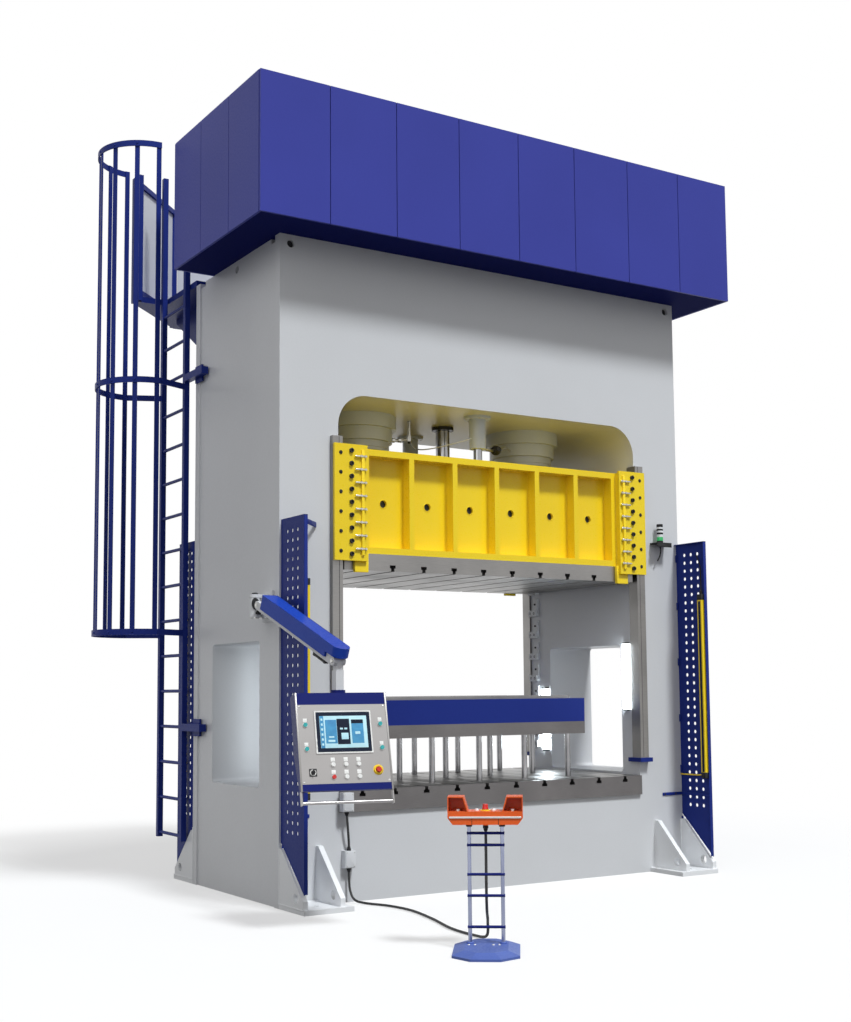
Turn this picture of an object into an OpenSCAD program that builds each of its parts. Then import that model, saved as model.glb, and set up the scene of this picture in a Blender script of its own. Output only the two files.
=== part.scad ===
// H-frame hydraulic deep drawing press with a ribbed slide, a die cushion, a machine house,
// a caged ladder, a swinging control console and a free-standing two-hand control.
// Millimetres, +Z up. The origin is on the floor, under the middle of the frame.
// The front faces -Y.

/* [Frame] */
// Width of the frame across both uprights
body_w = 3920; // [3600:10:4300]
// Depth of the frame from front plate to back plate
body_d = 1600; // [1500:10:1800]
// Height of the frame
body_h = 5000; // [4900:10:5300]
// Width of one upright
upright_w = 495; // [450:5:560]
// Height of the bed, which is the bottom of the press window
bed_h = 660; // [660:5:760]
// Top of the press window
window_top = 3830; // [3780:10:3950]
// Radius of the window's upper corners
window_fillet = 250; // [150:10:300]
// Thickness of the front and back plates
plate_t = 80; // [60:5:120]
// Step of the side plates behind the edges of the front and back plates
side_recess = 12; // [4:1:25]
// Width of the opening through each upright
side_window_w = 880; // [700:10:960]
// Height of the opening through each upright
side_window_h = 1100; // [900:10:1200]
// Height of the lower edge of that opening
side_window_z = 840; // [800:10:900]
// Corner radius of that opening
side_window_r = 30; // [10:5:60]
// Diameter of the lifting holes in the top corners
lift_hole_d = 60; // [40:5:80]

/* [Feet] */
// Reach of a foot in front of the plate it is welded to
foot_l = 400; // [300:10:450]
// Width of a foot
foot_w = 400; // [340:10:450]
// Height of a foot's gussets
foot_h = 430; // [300:10:450]
// Thickness of a foot's base plate
foot_t = 35; // [25:5:50]
// Thickness of a gusset
gusset_t = 40; // [25:5:50]
// Diameter of the anchor holes
anchor_d = 45; // [30:1:55]

/* [Bolster and cushion] */
// Thickness of the bolster plate
bolster_h = 160; // [130:5:180]
// Pitch of the T-slots
slot_pitch = 284; // [270:2:290]
// Number of T-slots in the bolster and in the slide
slot_count = 10; // [6:2:10]
// Width of a T-slot's neck
slot_neck = 30; // [22:1:36]
// Width of a T-slot's head
slot_head = 52; // [40:1:60]
// Length of each T-slot in the bolster, from its edge inwards
bolster_slot_l = 250; // [150:10:260]
// Diameter of a cushion pin
pin_d = 48; // [36:1:56]
// Columns of cushion pins
pin_cols = 5; // [3:2:5]
// Distance between cushion pin columns
pin_pitch_x = 458; // [400:2:470]
// Distance between cushion pin rows
pin_pitch_y = 506; // [440:2:520]
// Downward travel of the die cushion
cushion_stroke = 200; // [100:10:200]
// Width of the blank holder
holder_w = 2056; // [1980:4:2200]
// Depth of the blank holder
holder_d = 1212; // [1160:4:1300]
// Height of the underside of the blank holder's steel plate
holder_z = 1185; // [1150:5:1250]
// Thickness of the steel plate under the blank holder
holder_plate_h = 102; // [60:2:120]
// Height of the blank holder's box
holder_box_h = 196; // [140:2:220]
// Thickness of the draw plate on top of the blank holder
draw_plate_h = 26; // [16:2:40]

/* [Slide] */
// Height of the slide's lower face at the top of its stroke
slide_z = 2475; // [2420:5:2540]
// Thickness of the slide's T-slotted plate
slide_plate_h = 130; // [110:5:160]
// Height of the slide's welded box
slide_box_h = 810; // [700:10:830]
// Half width of the ribbed middle of the slide
slide_half = 1245; // [1200:5:1260]
// Number of pockets on each face of the slide
pocket_count = 6; // [4:1:8]
// Depth of a pocket
pocket_depth = 100; // [60:5:140]
// Thickness of the ribs between the pockets
rib_t = 45; // [30:1:60]
// Diameter of the hole in each pocket
pocket_hole_d = 60; // [40:1:80]
// Stroke of the slide
slide_stroke = 940; // [800:10:940]

/* [Guides] */
// Bottom of the guide rails
rail_z = 970; // [940:5:1050]
// Distance from the tops of the guide rails to the window's round corners
rail_gap = 90; // [40:5:120]
// Width of the rail on the face of the upright
rail_w = 87; // [70:1:100]
// Thickness of the rail in front of the upright
rail_t = 40; // [30:1:50]
// Thickness of the rail inside the window
rail_lip = 17; // [10:1:25]
// Running gap between the guide shoes and the rails
guide_gap = 1.5; // [0.5:0.1:3]
// Thickness of the keeper plates in front of the rails
keeper_t = 24; // [16:1:40]

/* [Cylinders] */
// Distance from the middle to each main cylinder
cylinder_x = 845; // [800:5:870]
// Diameter of a main cylinder's barrel
barrel_d = 575; // [550:5:610]
// Diameter of the flange under the crown
flange_d = 645; // [620:5:680]
// Height of the flange under the crown
flange_h = 110; // [80:2:130]
// Diameter of a main piston rod
rod_d = 460; // [420:5:520]
// Distance from the middle to each return cylinder
return_y = 537; // [500:2:560]
// Diameter of a return cylinder
return_d = 140; // [120:2:160]
// Diameter of a return rod
return_rod_d = 74; // [50:1:90]
// Diameter of the levelling rod in the middle
centre_rod_d = 120; // [90:2:140]

/* [Machine house] */
// Width of the machine house
head_w = 4600; // [4400:10:4800]
// Depth of the machine house
head_d = 1640; // [1600:10:1700]
// Height of the machine house
head_h = 1060; // [1000:10:1200]
// Overhang of the machine house in front of the frame
head_front = 370; // [300:10:420]
// Thickness of the cover panels
panel_t = 20; // [15:1:30]
// Gap between cover panels
panel_gap = 6; // [3:1:10]
// Number of panels along the front
front_panels = 8; // [5:1:10]
// Number of panels along each side
side_panels = 3; // [2:1:4]

/* [Ladder and platform] */
// Distance between the middles of the ladder's stiles
ladder_w = 520; // [420:10:560]
// Distance from the frame's back to the middle of the ladder
ladder_back = 410; // [380:5:440]
// Thickness of a stile
stile_t = 45; // [35:1:60]
// Height of the lower end of the ladder
ladder_z = 330; // [250:10:400]
// Distance between rungs
rung_pitch = 300; // [250:10:320]
// Diameter of a rung
rung_d = 28; // [22:1:34]
// Radius of the cage
cage_r = 400; // [350:5:420]
// Distance from the ladder to the middle of the cage's curve
cage_reach = 290; // [200:5:320]
// Height of the lowest hoop
cage_z = 2030; // [1900:10:2400]
// Height of the top of the cage
cage_top = 6200; // [6150:10:6300]
// Width of a hoop
hoop_h = 50; // [40:1:60]
// Thickness of hoops and bars
cage_t = 10; // [6:1:14]
// Number of upright cage bars
cage_bars = 7; // [5:2:9]
// Height of the railing above the platform
railing_h = 1100; // [1000:10:1100]
// Reach of the platform behind the frame
platform_d = 1400; // [1300:10:1500]

/* [Guards] */
// Reach of the perforated guards from the frame
guard_w = 370; // [300:5:380]
// Top of the guards
guard_top = 2825; // [2600:5:2900]
// Thickness of a guard
guard_t = 6; // [4:1:10]
// Diameter of the perforations
perforation_d = 30; // [16:1:40]
// Distance between rows of perforations
perforation_pitch = 70; // [60:1:90]
// Side of a light curtain's square housing
curtain_s = 50; // [30:1:55]

/* [Control arm] */
// Height of the arm's shoulder
arm_z = 2190; // [2100:5:2250]
// Distance from the shoulder's swivel to the arm's tilt pin
shoulder_l = 110; // [90:5:140]
// Length of the arm between its tilt pins
arm_l = 1152; // [1000:2:1200]
// Angle of the arm below level
arm_drop = 22; // [5:0.1:25]
// Angle of the arm away from straight ahead
arm_yaw = 2.8; // [-10:0.1:3]
// Width of the console
console_w = 626; // [600:2:660]
// Height of the console
console_h = 650; // [640:5:720]
// Depth of the console
console_d = 120; // [90:5:150]
// Lean of the console's face
console_lean = 15; // [5:1:25]
// Turn of the console towards the operator
console_yaw = -12; // [-30:1:30]
// Length of the console's hanging column
column_l = 130; // [110:5:200]
// Diameter of the panel's push buttons
button_d = 28; // [22:1:34]

/* [Two-hand stand] */
// Width of the stand's eight-sided base
stand_base_w = 400; // [360:10:440]
// Length of the stand's base from back to front
stand_base_l = 600; // [520:10:660]
// Height of the stand's base
stand_base_h = 40; // [30:5:60]
// Width of the stand's console
stand_w = 454; // [430:2:480]
// Depth of the stand's console
stand_d = 150; // [130:5:170]
// Height of the stand's legs above the floor
stand_h = 750; // [745:5:760]
// Turn of the stand towards the operator
stand_yaw = -36; // [-45:1:45]
// Diameter of the control cord
cord_d = 18; // [12:1:22]

/* [Hidden] */
$fn = 48;
// Colours
light_grey = [0.80, 0.81, 0.83];
house_blue = [0.20, 0.20, 0.58];
trim_blue = [0.10, 0.13, 0.48];
slide_yellow = [0.98, 0.82, 0.08];
steel = [0.62, 0.62, 0.62];
dark = [0.06, 0.06, 0.07];
orange = [0.92, 0.36, 0.14];
// Gap round the barrels in the crown's bores
fit_gap = 2.5;
// Gap at seats that are welded or turn on each other
seat_gap = 0.3;
// Radial clearance of pins and rods that run in a bore
run_gap = 0.05;
// Overshoot of cutting tools
cut = 10;
front_y = -body_d / 2;
side_x = body_w / 2;
window_half = side_x - upright_w;
// Step in the uprights' windows: depth of the inner part, and how much wider it is in front
window_step = 230;
window_widening = 140;
bolster_top = bed_h + bolster_h;
slide_box_z = slide_z + slide_plate_h;
slide_top = slide_box_z + slide_box_h;
// Depth of the slide's faces and of the bolster from the middle
slide_face = body_d / 2 + 10;
bolster_face = body_d / 2 + 25;
shoe_face = body_d / 2 + rail_t + guide_gap;
rail_inner = window_half - rail_lip;
rail_h = window_top - window_fillet - rail_gap - rail_z;
crown_bore_top = body_h - 20;
// Room above the rods when the slide is up, and the rods' reach above the slide
rod_room = 265;
rod_l = crown_bore_top - rod_room - slide_top;
// Cavity of the bed under the bolster
cavity_x = pin_pitch_x * (pin_cols - 1) / 2 + 230;
cavity_y = pin_pitch_y + 110;
cavity_z = 40;
table_h = 100;
table_z = bed_h - 60 - table_h;
cushion_barrel_h = table_z - cushion_stroke - 10 - cavity_z;
cushion_barrel_d = 220;
cushion_rod_d = 120;
cushion_x = 500;
holder_box_z = holder_z + holder_plate_h;
draw_plate_z = holder_box_z + holder_box_h;
pins = [for (c = [0 : pin_cols - 1], r = [-1 : 1]) [(c - (pin_cols - 1) / 2) * pin_pitch_x, r * pin_pitch_y]];
slots = [for (i = [0 : slot_count - 1]) (i - (slot_count - 1) / 2) * slot_pitch];

module both_sides() {
  children();
  mirror([1, 0, 0]) children();
}

module front_and_back() {
  children();
  mirror([0, 1, 0]) children();
}

module four_corners() {
  both_sides() front_and_back() children();
}

// A flat outline in X and Z, raised from y0 towards the back
module upright_plate(y0, depth) {
  translate([0, y0 + depth, 0]) rotate([90, 0, 0]) linear_extrude(depth) children();
}

// A flat outline in Y and Z, raised from x0 to the right
module side_plate(x0, width) {
  translate([x0, 0, 0]) rotate([90, 0, 90]) linear_extrude(width) children();
}

module window_outline() {
  straight_h = window_top - window_fillet - bed_h;
  translate([-window_half, bed_h]) square([2 * window_half, straight_h]);
  translate([-window_half + window_fillet, bed_h])
    square([2 * (window_half - window_fillet), window_top - bed_h]);
  for (side = [-1, 1])
    translate([side * (window_half - window_fillet), window_top - window_fillet])
      circle(window_fillet);
}

// Part of the frame between two heights and two widths: a front plate, a back plate and the
// stepped box between them
module frame_section(x0, x1, z0, z1) {
  module outline(w) {
    intersection() {
      difference() {
        translate([-w / 2, 0]) square([w, body_h]);
        window_outline();
      }
      translate([x0, z0]) square([x1 - x0, z1 - z0]);
    }
  }
  upright_plate(front_y, plate_t) outline(body_w);
  upright_plate(-front_y - plate_t, plate_t) outline(body_w);
  upright_plate(front_y + plate_t, body_d - 2 * plate_t) outline(body_w - 2 * side_recess);
}

module upright() {
  difference() {
    frame_section(-side_x, -window_half, bed_h, window_top - window_fillet);
    side_plate(-side_x - cut, upright_w + 2 * cut)
      translate([-side_window_w / 2, side_window_z])
        rounded_square(side_window_w, side_window_h, side_window_r);
    side_plate(-window_half - window_step, window_step + cut)
      translate([-side_window_w / 2 - window_widening, side_window_z])
        rounded_square(side_window_w + window_widening, side_window_h, side_window_r);
  }
}

module rounded_square(w, h, r) {
  translate([r, 0]) square([w - 2 * r, h]);
  translate([0, r]) square([w, h - 2 * r]);
  for (x = [r, w - r], y = [r, h - r]) translate([x, y]) circle(r);
}

module left_upright() {
  color(light_grey) upright();
}

module right_upright() {
  color(light_grey) mirror([1, 0, 0]) upright();
}

module crown() {
  lift_inset = 90;
  lift_drop = 70;
  notch_w = 90;
  notch_h = 40;
  color(light_grey) difference() {
    frame_section(-side_x, side_x, window_top - window_fillet, body_h);
    both_sides() {
      translate([cylinder_x, 0, window_top - cut])
        cylinder(d = barrel_d + 2 * fit_gap, h = crown_bore_top - window_top + cut);
      translate([side_x - lift_inset, 0, body_h - lift_drop]) rotate([90, 0, 0])
        front_and_back() translate([0, 0, -front_y - plate_t])
          cylinder(d = lift_hole_d, h = plate_t + cut);
      translate([side_x - side_recess - plate_t, 0, body_h - lift_drop]) rotate([0, 90, 0])
        cylinder(d = lift_hole_d, h = plate_t + cut);
    }
    four_corners()
      translate([side_x - side_recess - plate_t, -front_y - plate_t - notch_w, body_h - notch_h])
        cube([plate_t + side_recess + cut, notch_w, notch_h + cut]);
    front_and_back() translate([0, return_y, window_top - cut])
      cylinder(d = return_d + 2 * fit_gap, h = crown_bore_top - window_top + cut);
    translate([0, 0, window_top - cut])
      cylinder(d = centre_rod_d + 4, h = crown_bore_top - window_top + cut);
  }
}

module bed() {
  color(light_grey) difference() {
    frame_section(-side_x, side_x, 0, bed_h);
    translate([-cavity_x, -cavity_y, cavity_z]) cube([2 * cavity_x, 2 * cavity_y, bed_h]);
  }
}

// Base plate with two gussets, welded to the front or back plate
module foot() {
  inner_gusset = 300;
  toe = 60;
  window_d = 70;
  hole_y = foot_l - 130;
  translate([side_x - foot_w, 0, 0]) difference() {
    cube([foot_w, foot_l, foot_t]);
    translate([foot_w / 2 + gusset_t / 2, foot_l * 0.6, -cut]) cylinder(d = anchor_d, h = foot_t + 2 * cut);
  }
  for (x = [side_x - gusset_t, side_x - inner_gusset - gusset_t])
    side_plate(x, gusset_t) difference() {
      polygon([
        [0, foot_t], [foot_l - 20, foot_t], [foot_l - 20, foot_t + toe], [gusset_t, foot_h], [0, foot_h]
      ]);
      translate([hole_y, foot_t + 70]) circle(d = window_d);
    }
}

module anchor_feet() {
  color(light_grey) four_corners() translate([0, -front_y, 0]) foot();
}

// T-slot with its mouth at z = 0 and its head below
module t_slot(length) {
  neck_h = 24;
  head_h = 24;
  upright_plate(-length / 2, length) {
    translate([-slot_neck / 2, -neck_h - 1]) square([slot_neck, neck_h + 1 + cut]);
    translate([-slot_head / 2, -neck_h - head_h]) square([slot_head, head_h]);
  }
}

module bolster() {
  pin_hole_d = pin_d + 8;
  color(steel) difference() {
    translate([-window_half, -bolster_face, bed_h]) cube([2 * window_half, 2 * bolster_face, bolster_h]);
    for (x = slots) translate([x, 0, bolster_top]) front_and_back()
      translate([0, bolster_face - bolster_slot_l / 2 + cut / 2, 0]) t_slot(bolster_slot_l + cut);
    for (p = pins) translate([p[0], p[1], bed_h - cut]) cylinder(d = pin_hole_d, h = bolster_h + 2 * cut);
  }
}

module guide_rails() {
  leg = 70;
  face = -front_y;
  color(steel) four_corners() translate([0, 0, rail_z]) linear_extrude(rail_h) polygon([
    [rail_inner, face - leg], [window_half, face - leg], [window_half, face],
    [rail_inner + rail_w, face], [rail_inner + rail_w, face + rail_t], [rail_inner, face + rail_t]
  ]);
}

// Inner edge of the back rails' keeper blocks
keeper_block = [40, 115, 165];
keeper_y = -front_y - 80 - keeper_block[1];

// Bolted blocks on the inner faces of the uprights, beside the back rails
module rail_keepers() {
  count = 12;
  end_gap = 50;
  pitch = (rail_h - 2 * end_gap - keeper_block[2]) / (count - 1);
  lug = [22, 60, 60];
  color(light_grey) both_sides() for (i = [0 : count - 1])
    translate([window_half - keeper_block[0], keeper_y, rail_z + end_gap + i * pitch]) {
      cube([keeper_block[0], keeper_block[1], lug[2]]);
      translate([keeper_block[0] - lug[0], 0, 0]) cube([lug[0], lug[1], keeper_block[2]]);
    }
}

module rail_stops() {
  stop_t = 35;
  wall = 24;
  face = -front_y;
  color(trim_blue) four_corners() translate([0, 0, rail_z - stop_t]) linear_extrude(stop_t) polygon([
    [rail_inner - wall, face - 100], [window_half, face - 100], [window_half, face],
    [rail_inner + rail_w + wall, face], [rail_inner + rail_w + wall, face + rail_t + wall],
    [rail_inner - wall, face + rail_t + wall]
  ]);
}

module main_cylinders() {
  barrel_bottom = window_top - 217;
  cap = 30;
  color(light_grey) both_sides() translate([cylinder_x, 0, 0]) difference() {
    union() {
      translate([0, 0, barrel_bottom]) cylinder(d = barrel_d, h = crown_bore_top - fit_gap - barrel_bottom);
      translate([0, 0, window_top - flange_h]) cylinder(d = flange_d, h = flange_h);
    }
    translate([0, 0, barrel_bottom - cut])
      cylinder(d = rod_d + 2 * run_gap, h = crown_bore_top - cap - barrel_bottom + cut);
  }
}

module return_cylinders() {
  barrel_bottom = window_top - 271;
  flange_extra = 90;
  flange_t = 22;
  cap = 30;
  color(light_grey) front_and_back() translate([0, return_y, 0]) difference() {
    union() {
      translate([0, 0, barrel_bottom]) cylinder(d = return_d, h = crown_bore_top - fit_gap - barrel_bottom);
      translate([0, 0, window_top - flange_t]) cylinder(d = return_d + flange_extra, h = flange_t);
    }
    translate([0, 0, barrel_bottom - cut])
      cylinder(d = return_rod_d + 2 * run_gap, h = crown_bore_top - cap - barrel_bottom + cut);
  }
}

// Gland of the levelling rod, and the stroke scale beside it
module ram_glands() {
  gland_t = 30;
  scale_pos = [-403, -103];
  scale_d = 28;
  scale_h = 190;
  nut_d = 46;
  gland_rim = 35;
  color(dark) {
    translate([0, 0, window_top - gland_t]) difference() {
      cylinder(d = centre_rod_d + 2 * gland_rim, h = gland_t);
      translate([0, 0, -cut]) cylinder(d = centre_rod_d + 2 * run_gap, h = gland_t + 2 * cut);
    }
    translate([scale_pos[0], scale_pos[1], window_top - scale_h]) {
      cylinder(d = scale_d, h = scale_h);
      translate([0, 0, 20]) cylinder(d = nut_d, h = 40);
    }
  }
}

// Floor, roof and corner posts of the machine house, inside the panels
module head_frame() {
  sheet = 30;
  post = 60;
  half = head_w / 2 - panel_t;
  y0 = front_y - head_front + panel_t;
  depth = head_d - 2 * panel_t;
  color(house_blue) translate([0, 0, body_h]) {
    translate([-half, y0, 0]) cube([2 * half, depth, sheet]);
    translate([-half, y0, head_h - sheet]) cube([2 * half, depth, sheet]);
    both_sides() for (y = [y0, y0 + depth - post])
      translate([half - post, y, sheet]) cube([post, post, head_h - 2 * sheet]);
  }
}

module panel_row(length, count) {
  pitch = length / count;
  for (i = [0 : count - 1])
    translate([i * pitch + panel_gap / 2, 0, 0]) cube([pitch - panel_gap, panel_t, head_h]);
}

module head_panels() {
  y0 = front_y - head_front;
  color(house_blue) translate([0, 0, body_h]) {
    for (y = [y0, y0 + head_d - panel_t]) translate([-head_w / 2, y, 0]) panel_row(head_w, front_panels);
    for (x = [-head_w / 2 + panel_t, head_w / 2])
      translate([x, y0 + panel_t, 0]) rotate([0, 0, 90]) panel_row(head_d - 2 * panel_t, side_panels);
  }
}

// Oil tank, pump motors and valve block on the floor of the machine house
module power_unit() {
  floor_z = body_h + 30;
  tank = [1700, 1000, 620];
  block = [520, 620, 420];
  motor_d = 380;
  motor_l = 620;
  motor_x = 900;
  motor_pitch = 480;
  y_mid = front_y - head_front + head_d / 2;
  color(light_grey) translate([0, y_mid, floor_z]) {
    translate([-head_w / 2 + 180, -tank[1] / 2, 0]) cube(tank);
    translate([-block[0] / 2 + 120, -block[1] / 2, 0]) cube(block);
    for (i = [0 : 2]) translate([motor_x + i * motor_pitch, 0, 0]) {
      translate([-150, -motor_l / 2 + 60, 0]) cube([300, motor_l - 120, motor_d / 2 + 20 - motor_d / 3]);
      translate([0, motor_l / 2, motor_d / 2 + 20]) rotate([90, 0, 0]) cylinder(d = motor_d, h = motor_l);
    }
  }
}

ladder_y = body_d / 2 + ladder_back;
ladder_x = -side_x - stile_t / 2 - 5;
stile_ys = [ladder_y - ladder_w / 2, ladder_y + ladder_w / 2];
cage_mid_z = 0.825 * body_h;
deck_z = body_h;
deck_t = 50;
ladder_top = deck_z + deck_t + railing_h;

// Two stiles with rungs, and the brackets that hold it to the frame's side
module ladder() {
  rung_z = ladder_z + 40;
  rungs = floor((deck_z - rung_z) / rung_pitch);
  bracket_s = 60;
  bracket_y = body_d / 2 - 260;
  bracket_zs = [0.248 * body_h, cage_mid_z + hoop_h + 15];
  color(trim_blue) {
    for (y = stile_ys) translate([ladder_x - stile_t / 2, y - stile_t / 2, ladder_z])
      cube([stile_t, stile_t, ladder_top - ladder_z]);
    for (i = [0 : rungs]) translate([ladder_x, stile_ys[0], rung_z + i * rung_pitch]) rotate([-90, 0, 0])
      cylinder(d = rung_d, h = ladder_w);
    for (z = bracket_zs) {
      translate([-side_x - bracket_s, bracket_y, z])
        cube([bracket_s, stile_ys[0] - stile_t / 2 - bracket_y, bracket_s]);
      translate([-side_x - 16, bracket_y + 100, z - 40]) cube([16, 140, bracket_s + 80]);
    }
  }
}

cage_x = ladder_x - cage_reach;

// Half ring in plan, open to the right
module hoop_outline() {
  intersection() {
    difference() {
      circle(cage_r);
      circle(cage_r - cage_t);
    }
    translate([-cage_r, -cage_r]) square([cage_r, 2 * cage_r]);
  }
}

module ladder_cage() {
  leg_end = [cage_reach - stile_t / 2 - seat_gap, ladder_w / 2];
  bar_w = 40;
  color(trim_blue) translate([cage_x, ladder_y, 0]) {
    for (z = [cage_z, cage_mid_z, cage_top - hoop_h])
      translate([0, 0, z]) linear_extrude(hoop_h) hoop_outline();
    for (z = [cage_z, cage_mid_z], side = [-1, 1]) translate([0, 0, z]) linear_extrude(hoop_h) polygon([
      [0, side * cage_r], leg_end_at(leg_end, side, 0), leg_end_at(leg_end, side, cage_t),
      [0, side * (cage_r - cage_t)]
    ]);
    for (i = [0 : cage_bars - 1]) rotate([0, 0, 90 + i * 180 / (cage_bars - 1)])
      translate([cage_r - 2 * cage_t, -bar_w / 2 * bar_side(i), cage_z])
        cube([cage_t + 1, bar_w, cage_top - cage_z]);
  }
}

// End of a hoop's leg at the outer corner of a stile
function leg_end_at(end, side, inset) = [end[0], side * (end[1] + stile_t / 2 - inset)];
// The end bars lie inside the half ring, the others across it
function bar_side(i) = i == 0 ? 0 : i == cage_bars - 1 ? 2 : 1;

// Plan of the platform: a chamfered corner behind the ladder, a plain end on the right
deck_left = -2215;
deck_right = 600;
deck_back = body_d / 2 + platform_d;
deck_chamfer = 600;
deck_points = [
  [ladder_x + stile_t / 2 + 5, body_d / 2], [deck_right, body_d / 2], [deck_right, deck_back],
  [deck_left + deck_chamfer, deck_back], [deck_left, deck_back - deck_chamfer],
  [deck_left, stile_ys[1] + stile_t / 2 + 5], [ladder_x + stile_t / 2 + 5, stile_ys[1] + stile_t / 2 + 5]
];
railing_points = [deck_points[1], deck_points[2], deck_points[3], deck_points[4], deck_points[5]];
railing_post = 50;
railing_bar = 44;
// Height of the posts above the top rail
post_cap = 4;

// A bar of rectangular section, centred on the line between two plan points
module rail_bar(a, b, z, w, h) {
  d = b - a;
  translate([a[0], a[1], z]) rotate([0, 0, atan2(d[1], d[0])])
    translate([0, -w / 2, 0]) cube([norm(d), w, h]);
}

// Deck, its knee braces, and the posts and rails of the railing as one welded piece
module platform_deck() {
  brace_t = 40;
  root = 10;
  brace_room = 300;
  middle_x = (deck_left + deck_right) / 2 + 107;
  brace_xs = [deck_left + deck_chamfer - 85, middle_x, deck_right - brace_room];
  color(trim_blue) {
    translate([0, 0, deck_z]) linear_extrude(deck_t) polygon(deck_points);
    for (x = brace_xs) side_plate(x, brace_t)
      polygon([[body_d / 2, deck_z - 700], [body_d / 2 + 60, deck_z - 700],
        [deck_back - brace_room, deck_z - 40], [deck_back - brace_room, deck_z + root],
        [body_d / 2, deck_z + root]]);
    for (p = railing_points) translate([p[0], p[1], deck_z + root]) railing_corner()
      cube([railing_post, railing_post, deck_t + railing_h - root]);
    for (i = [0 : len(railing_points) - 2], z = [deck_t + 60, deck_t + railing_h - railing_post])
      rail_bar(railing_points[i], railing_points[i + 1], deck_z + z, railing_bar, railing_post - post_cap);
  }
}

// Posts stand on the deck's edge, just inside its corners
module railing_corner() {
  translate([-railing_post / 2, -railing_post / 2, 0]) children();
}

// Point just clear of the post at one end of a railing's bay
function toward(a, b) = a + (b - a) / norm(b - a) * railing_post * 0.8;

module platform_panels() {
  sheet = 6;
  z0 = deck_t + 60 + railing_post - post_cap;
  z1 = deck_t + railing_h - railing_post;
  color(light_grey) for (i = [0 : len(railing_points) - 2]) {
    a = railing_points[i];
    b = railing_points[i + 1];
    rail_bar(toward(a, b), toward(b, a), deck_z + z0, sheet, z1 - z0);
  }
}

guard_x = side_x - 21;

// Perforated plate beside each working opening, cut to clear the foot's gusset
module side_guards() {
  low_in = foot_h + 45;
  low_out = foot_t + 100;
  columns = [0.28, 0.5, 0.72];
  first = low_in + 80;
  rows = floor((guard_top - first - 60) / perforation_pitch);
  color(trim_blue) four_corners() side_plate(guard_x, guard_t) translate([-front_y, 0]) difference() {
    polygon([[0, low_in], [guard_w, low_out], [guard_w, guard_top], [0, guard_top]]);
    for (c = columns, r = [0 : rows]) translate([c * guard_w, first + r * perforation_pitch])
      circle(d = perforation_d, $fn = 16);
  }
}

module light_curtains() {
  z0 = 810;
  length = 1530;
  inset = 15;
  cap = 16;
  color(slide_yellow) four_corners()
    translate([guard_x - curtain_s, -front_y + guard_w - inset - curtain_s, z0])
      cube([curtain_s, curtain_s, length]);
  color(dark) four_corners() for (z = [z0 - cap, z0 + length])
    translate([guard_x - curtain_s, -front_y + guard_w - inset - curtain_s, z])
      cube([curtain_s, curtain_s, cap]);
}

// Shelf on the right upright with a stacked signal lamp
module signal_tower() {
  shelf = [300, 100, 14];
  shelf_x = side_x - 340;
  shelf_z = 2814;
  tower_d = 76;
  tower_h = 165;
  color(dark) translate([shelf_x, front_y - shelf[1], shelf_z]) {
    cube(shelf);
    translate([shelf[0] * 0.3, shelf[1] / 2, shelf[2]]) cylinder(d = tower_d, h = tower_h);
  }
}

// Lamp bars on the inner face of the right upright
module work_lights() {
  lamp = [35, 60, 590];
  front_gap = 100;
  keeper_gap = 75;
  color(light_grey) {
    translate([window_half - lamp[0], front_y + front_gap, rail_z + 400]) cube(lamp);
    translate([window_half - lamp[0], keeper_y - keeper_gap - lamp[1], rail_z + 15]) cube(lamp);
  }
}

box_x = -window_half + 35;
box_w = 90;
box_d = 60;
upper_box_z = 668;
upper_box_h = 140;
lower_box_z = 255;
lower_box_h = 125;
lower_box_x = box_x + 30;

// Junction box on the bolster's front and the cord's socket on the bed
module cable_boxes() {
  color(light_grey) {
    translate([box_x - box_w / 2, -bolster_face - box_d, upper_box_z]) cube([box_w, box_d, upper_box_h]);
    translate([lower_box_x - box_w / 2, front_y - box_d, lower_box_z]) cube([box_w, box_d, lower_box_h]);
  }
}

// Cord routes: hand-chosen points, smoothed by a Catmull-Rom curve
upper_route = [
  [box_x, -855, upper_box_z], [box_x + 4, -856, 600], [box_x + 14, -850, 520],
  [box_x + 26, -838, 440], [lower_box_x, -830, lower_box_z + lower_box_h]
];
stand_route = [
  [lower_box_x, -830, lower_box_z], [lower_box_x, -832, 180], [lower_box_x + 2, -846, 90],
  [-1385, -890, 28], [-1350, -980, 12], [-1270, -1200, 12], [-1250, -1480, 12], [-1320, -1860, 12],
  [-1420, -2240, 12], [-1440, -2520, 12], [-1450, -2690, 30], [-1478, -2748, 130], [-1560, -2860, 215],
  [-1598, -2912, 320], [-1598, -2912, 480], [-1598, -2912, 640], [-1598, -2912, 735]
];
cord_sides = 10;
cord_steps = 4;

function at(route, i) = route[min(max(i, 0), len(route) - 1)];
function curve_point(route, i, t) =
  let (a = at(route, i - 1), b = at(route, i), c = at(route, i + 1), d = at(route, i + 2))
  0.5 * (2 * b + (c - a) * t + (2 * a - 5 * b + 4 * c - d) * t * t + (3 * b - a - 3 * c + d) * t * t * t);
function curve(route) = concat(
  [for (i = [0 : len(route) - 2], s = [0 : cord_steps - 1]) curve_point(route, i, s / cord_steps)],
  [route[len(route) - 1]]
);
function unit(v) = v / norm(v);
function tangent(path, i) = unit(path[min(i + 1, len(path) - 1)] - path[max(i - 1, 0)]);
// The first and last rings lie flat against the faces that the cord meets
function ring_dir(path, i) = i == 0 || i == len(path) - 1
  ? [0, 0, sign(tangent(path, i)[2])] : tangent(path, i);
function side_of(t) = unit(cross(t, abs(t[2]) > 0.9 ? [1, 0, 0] : [0, 0, 1]));
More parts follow.
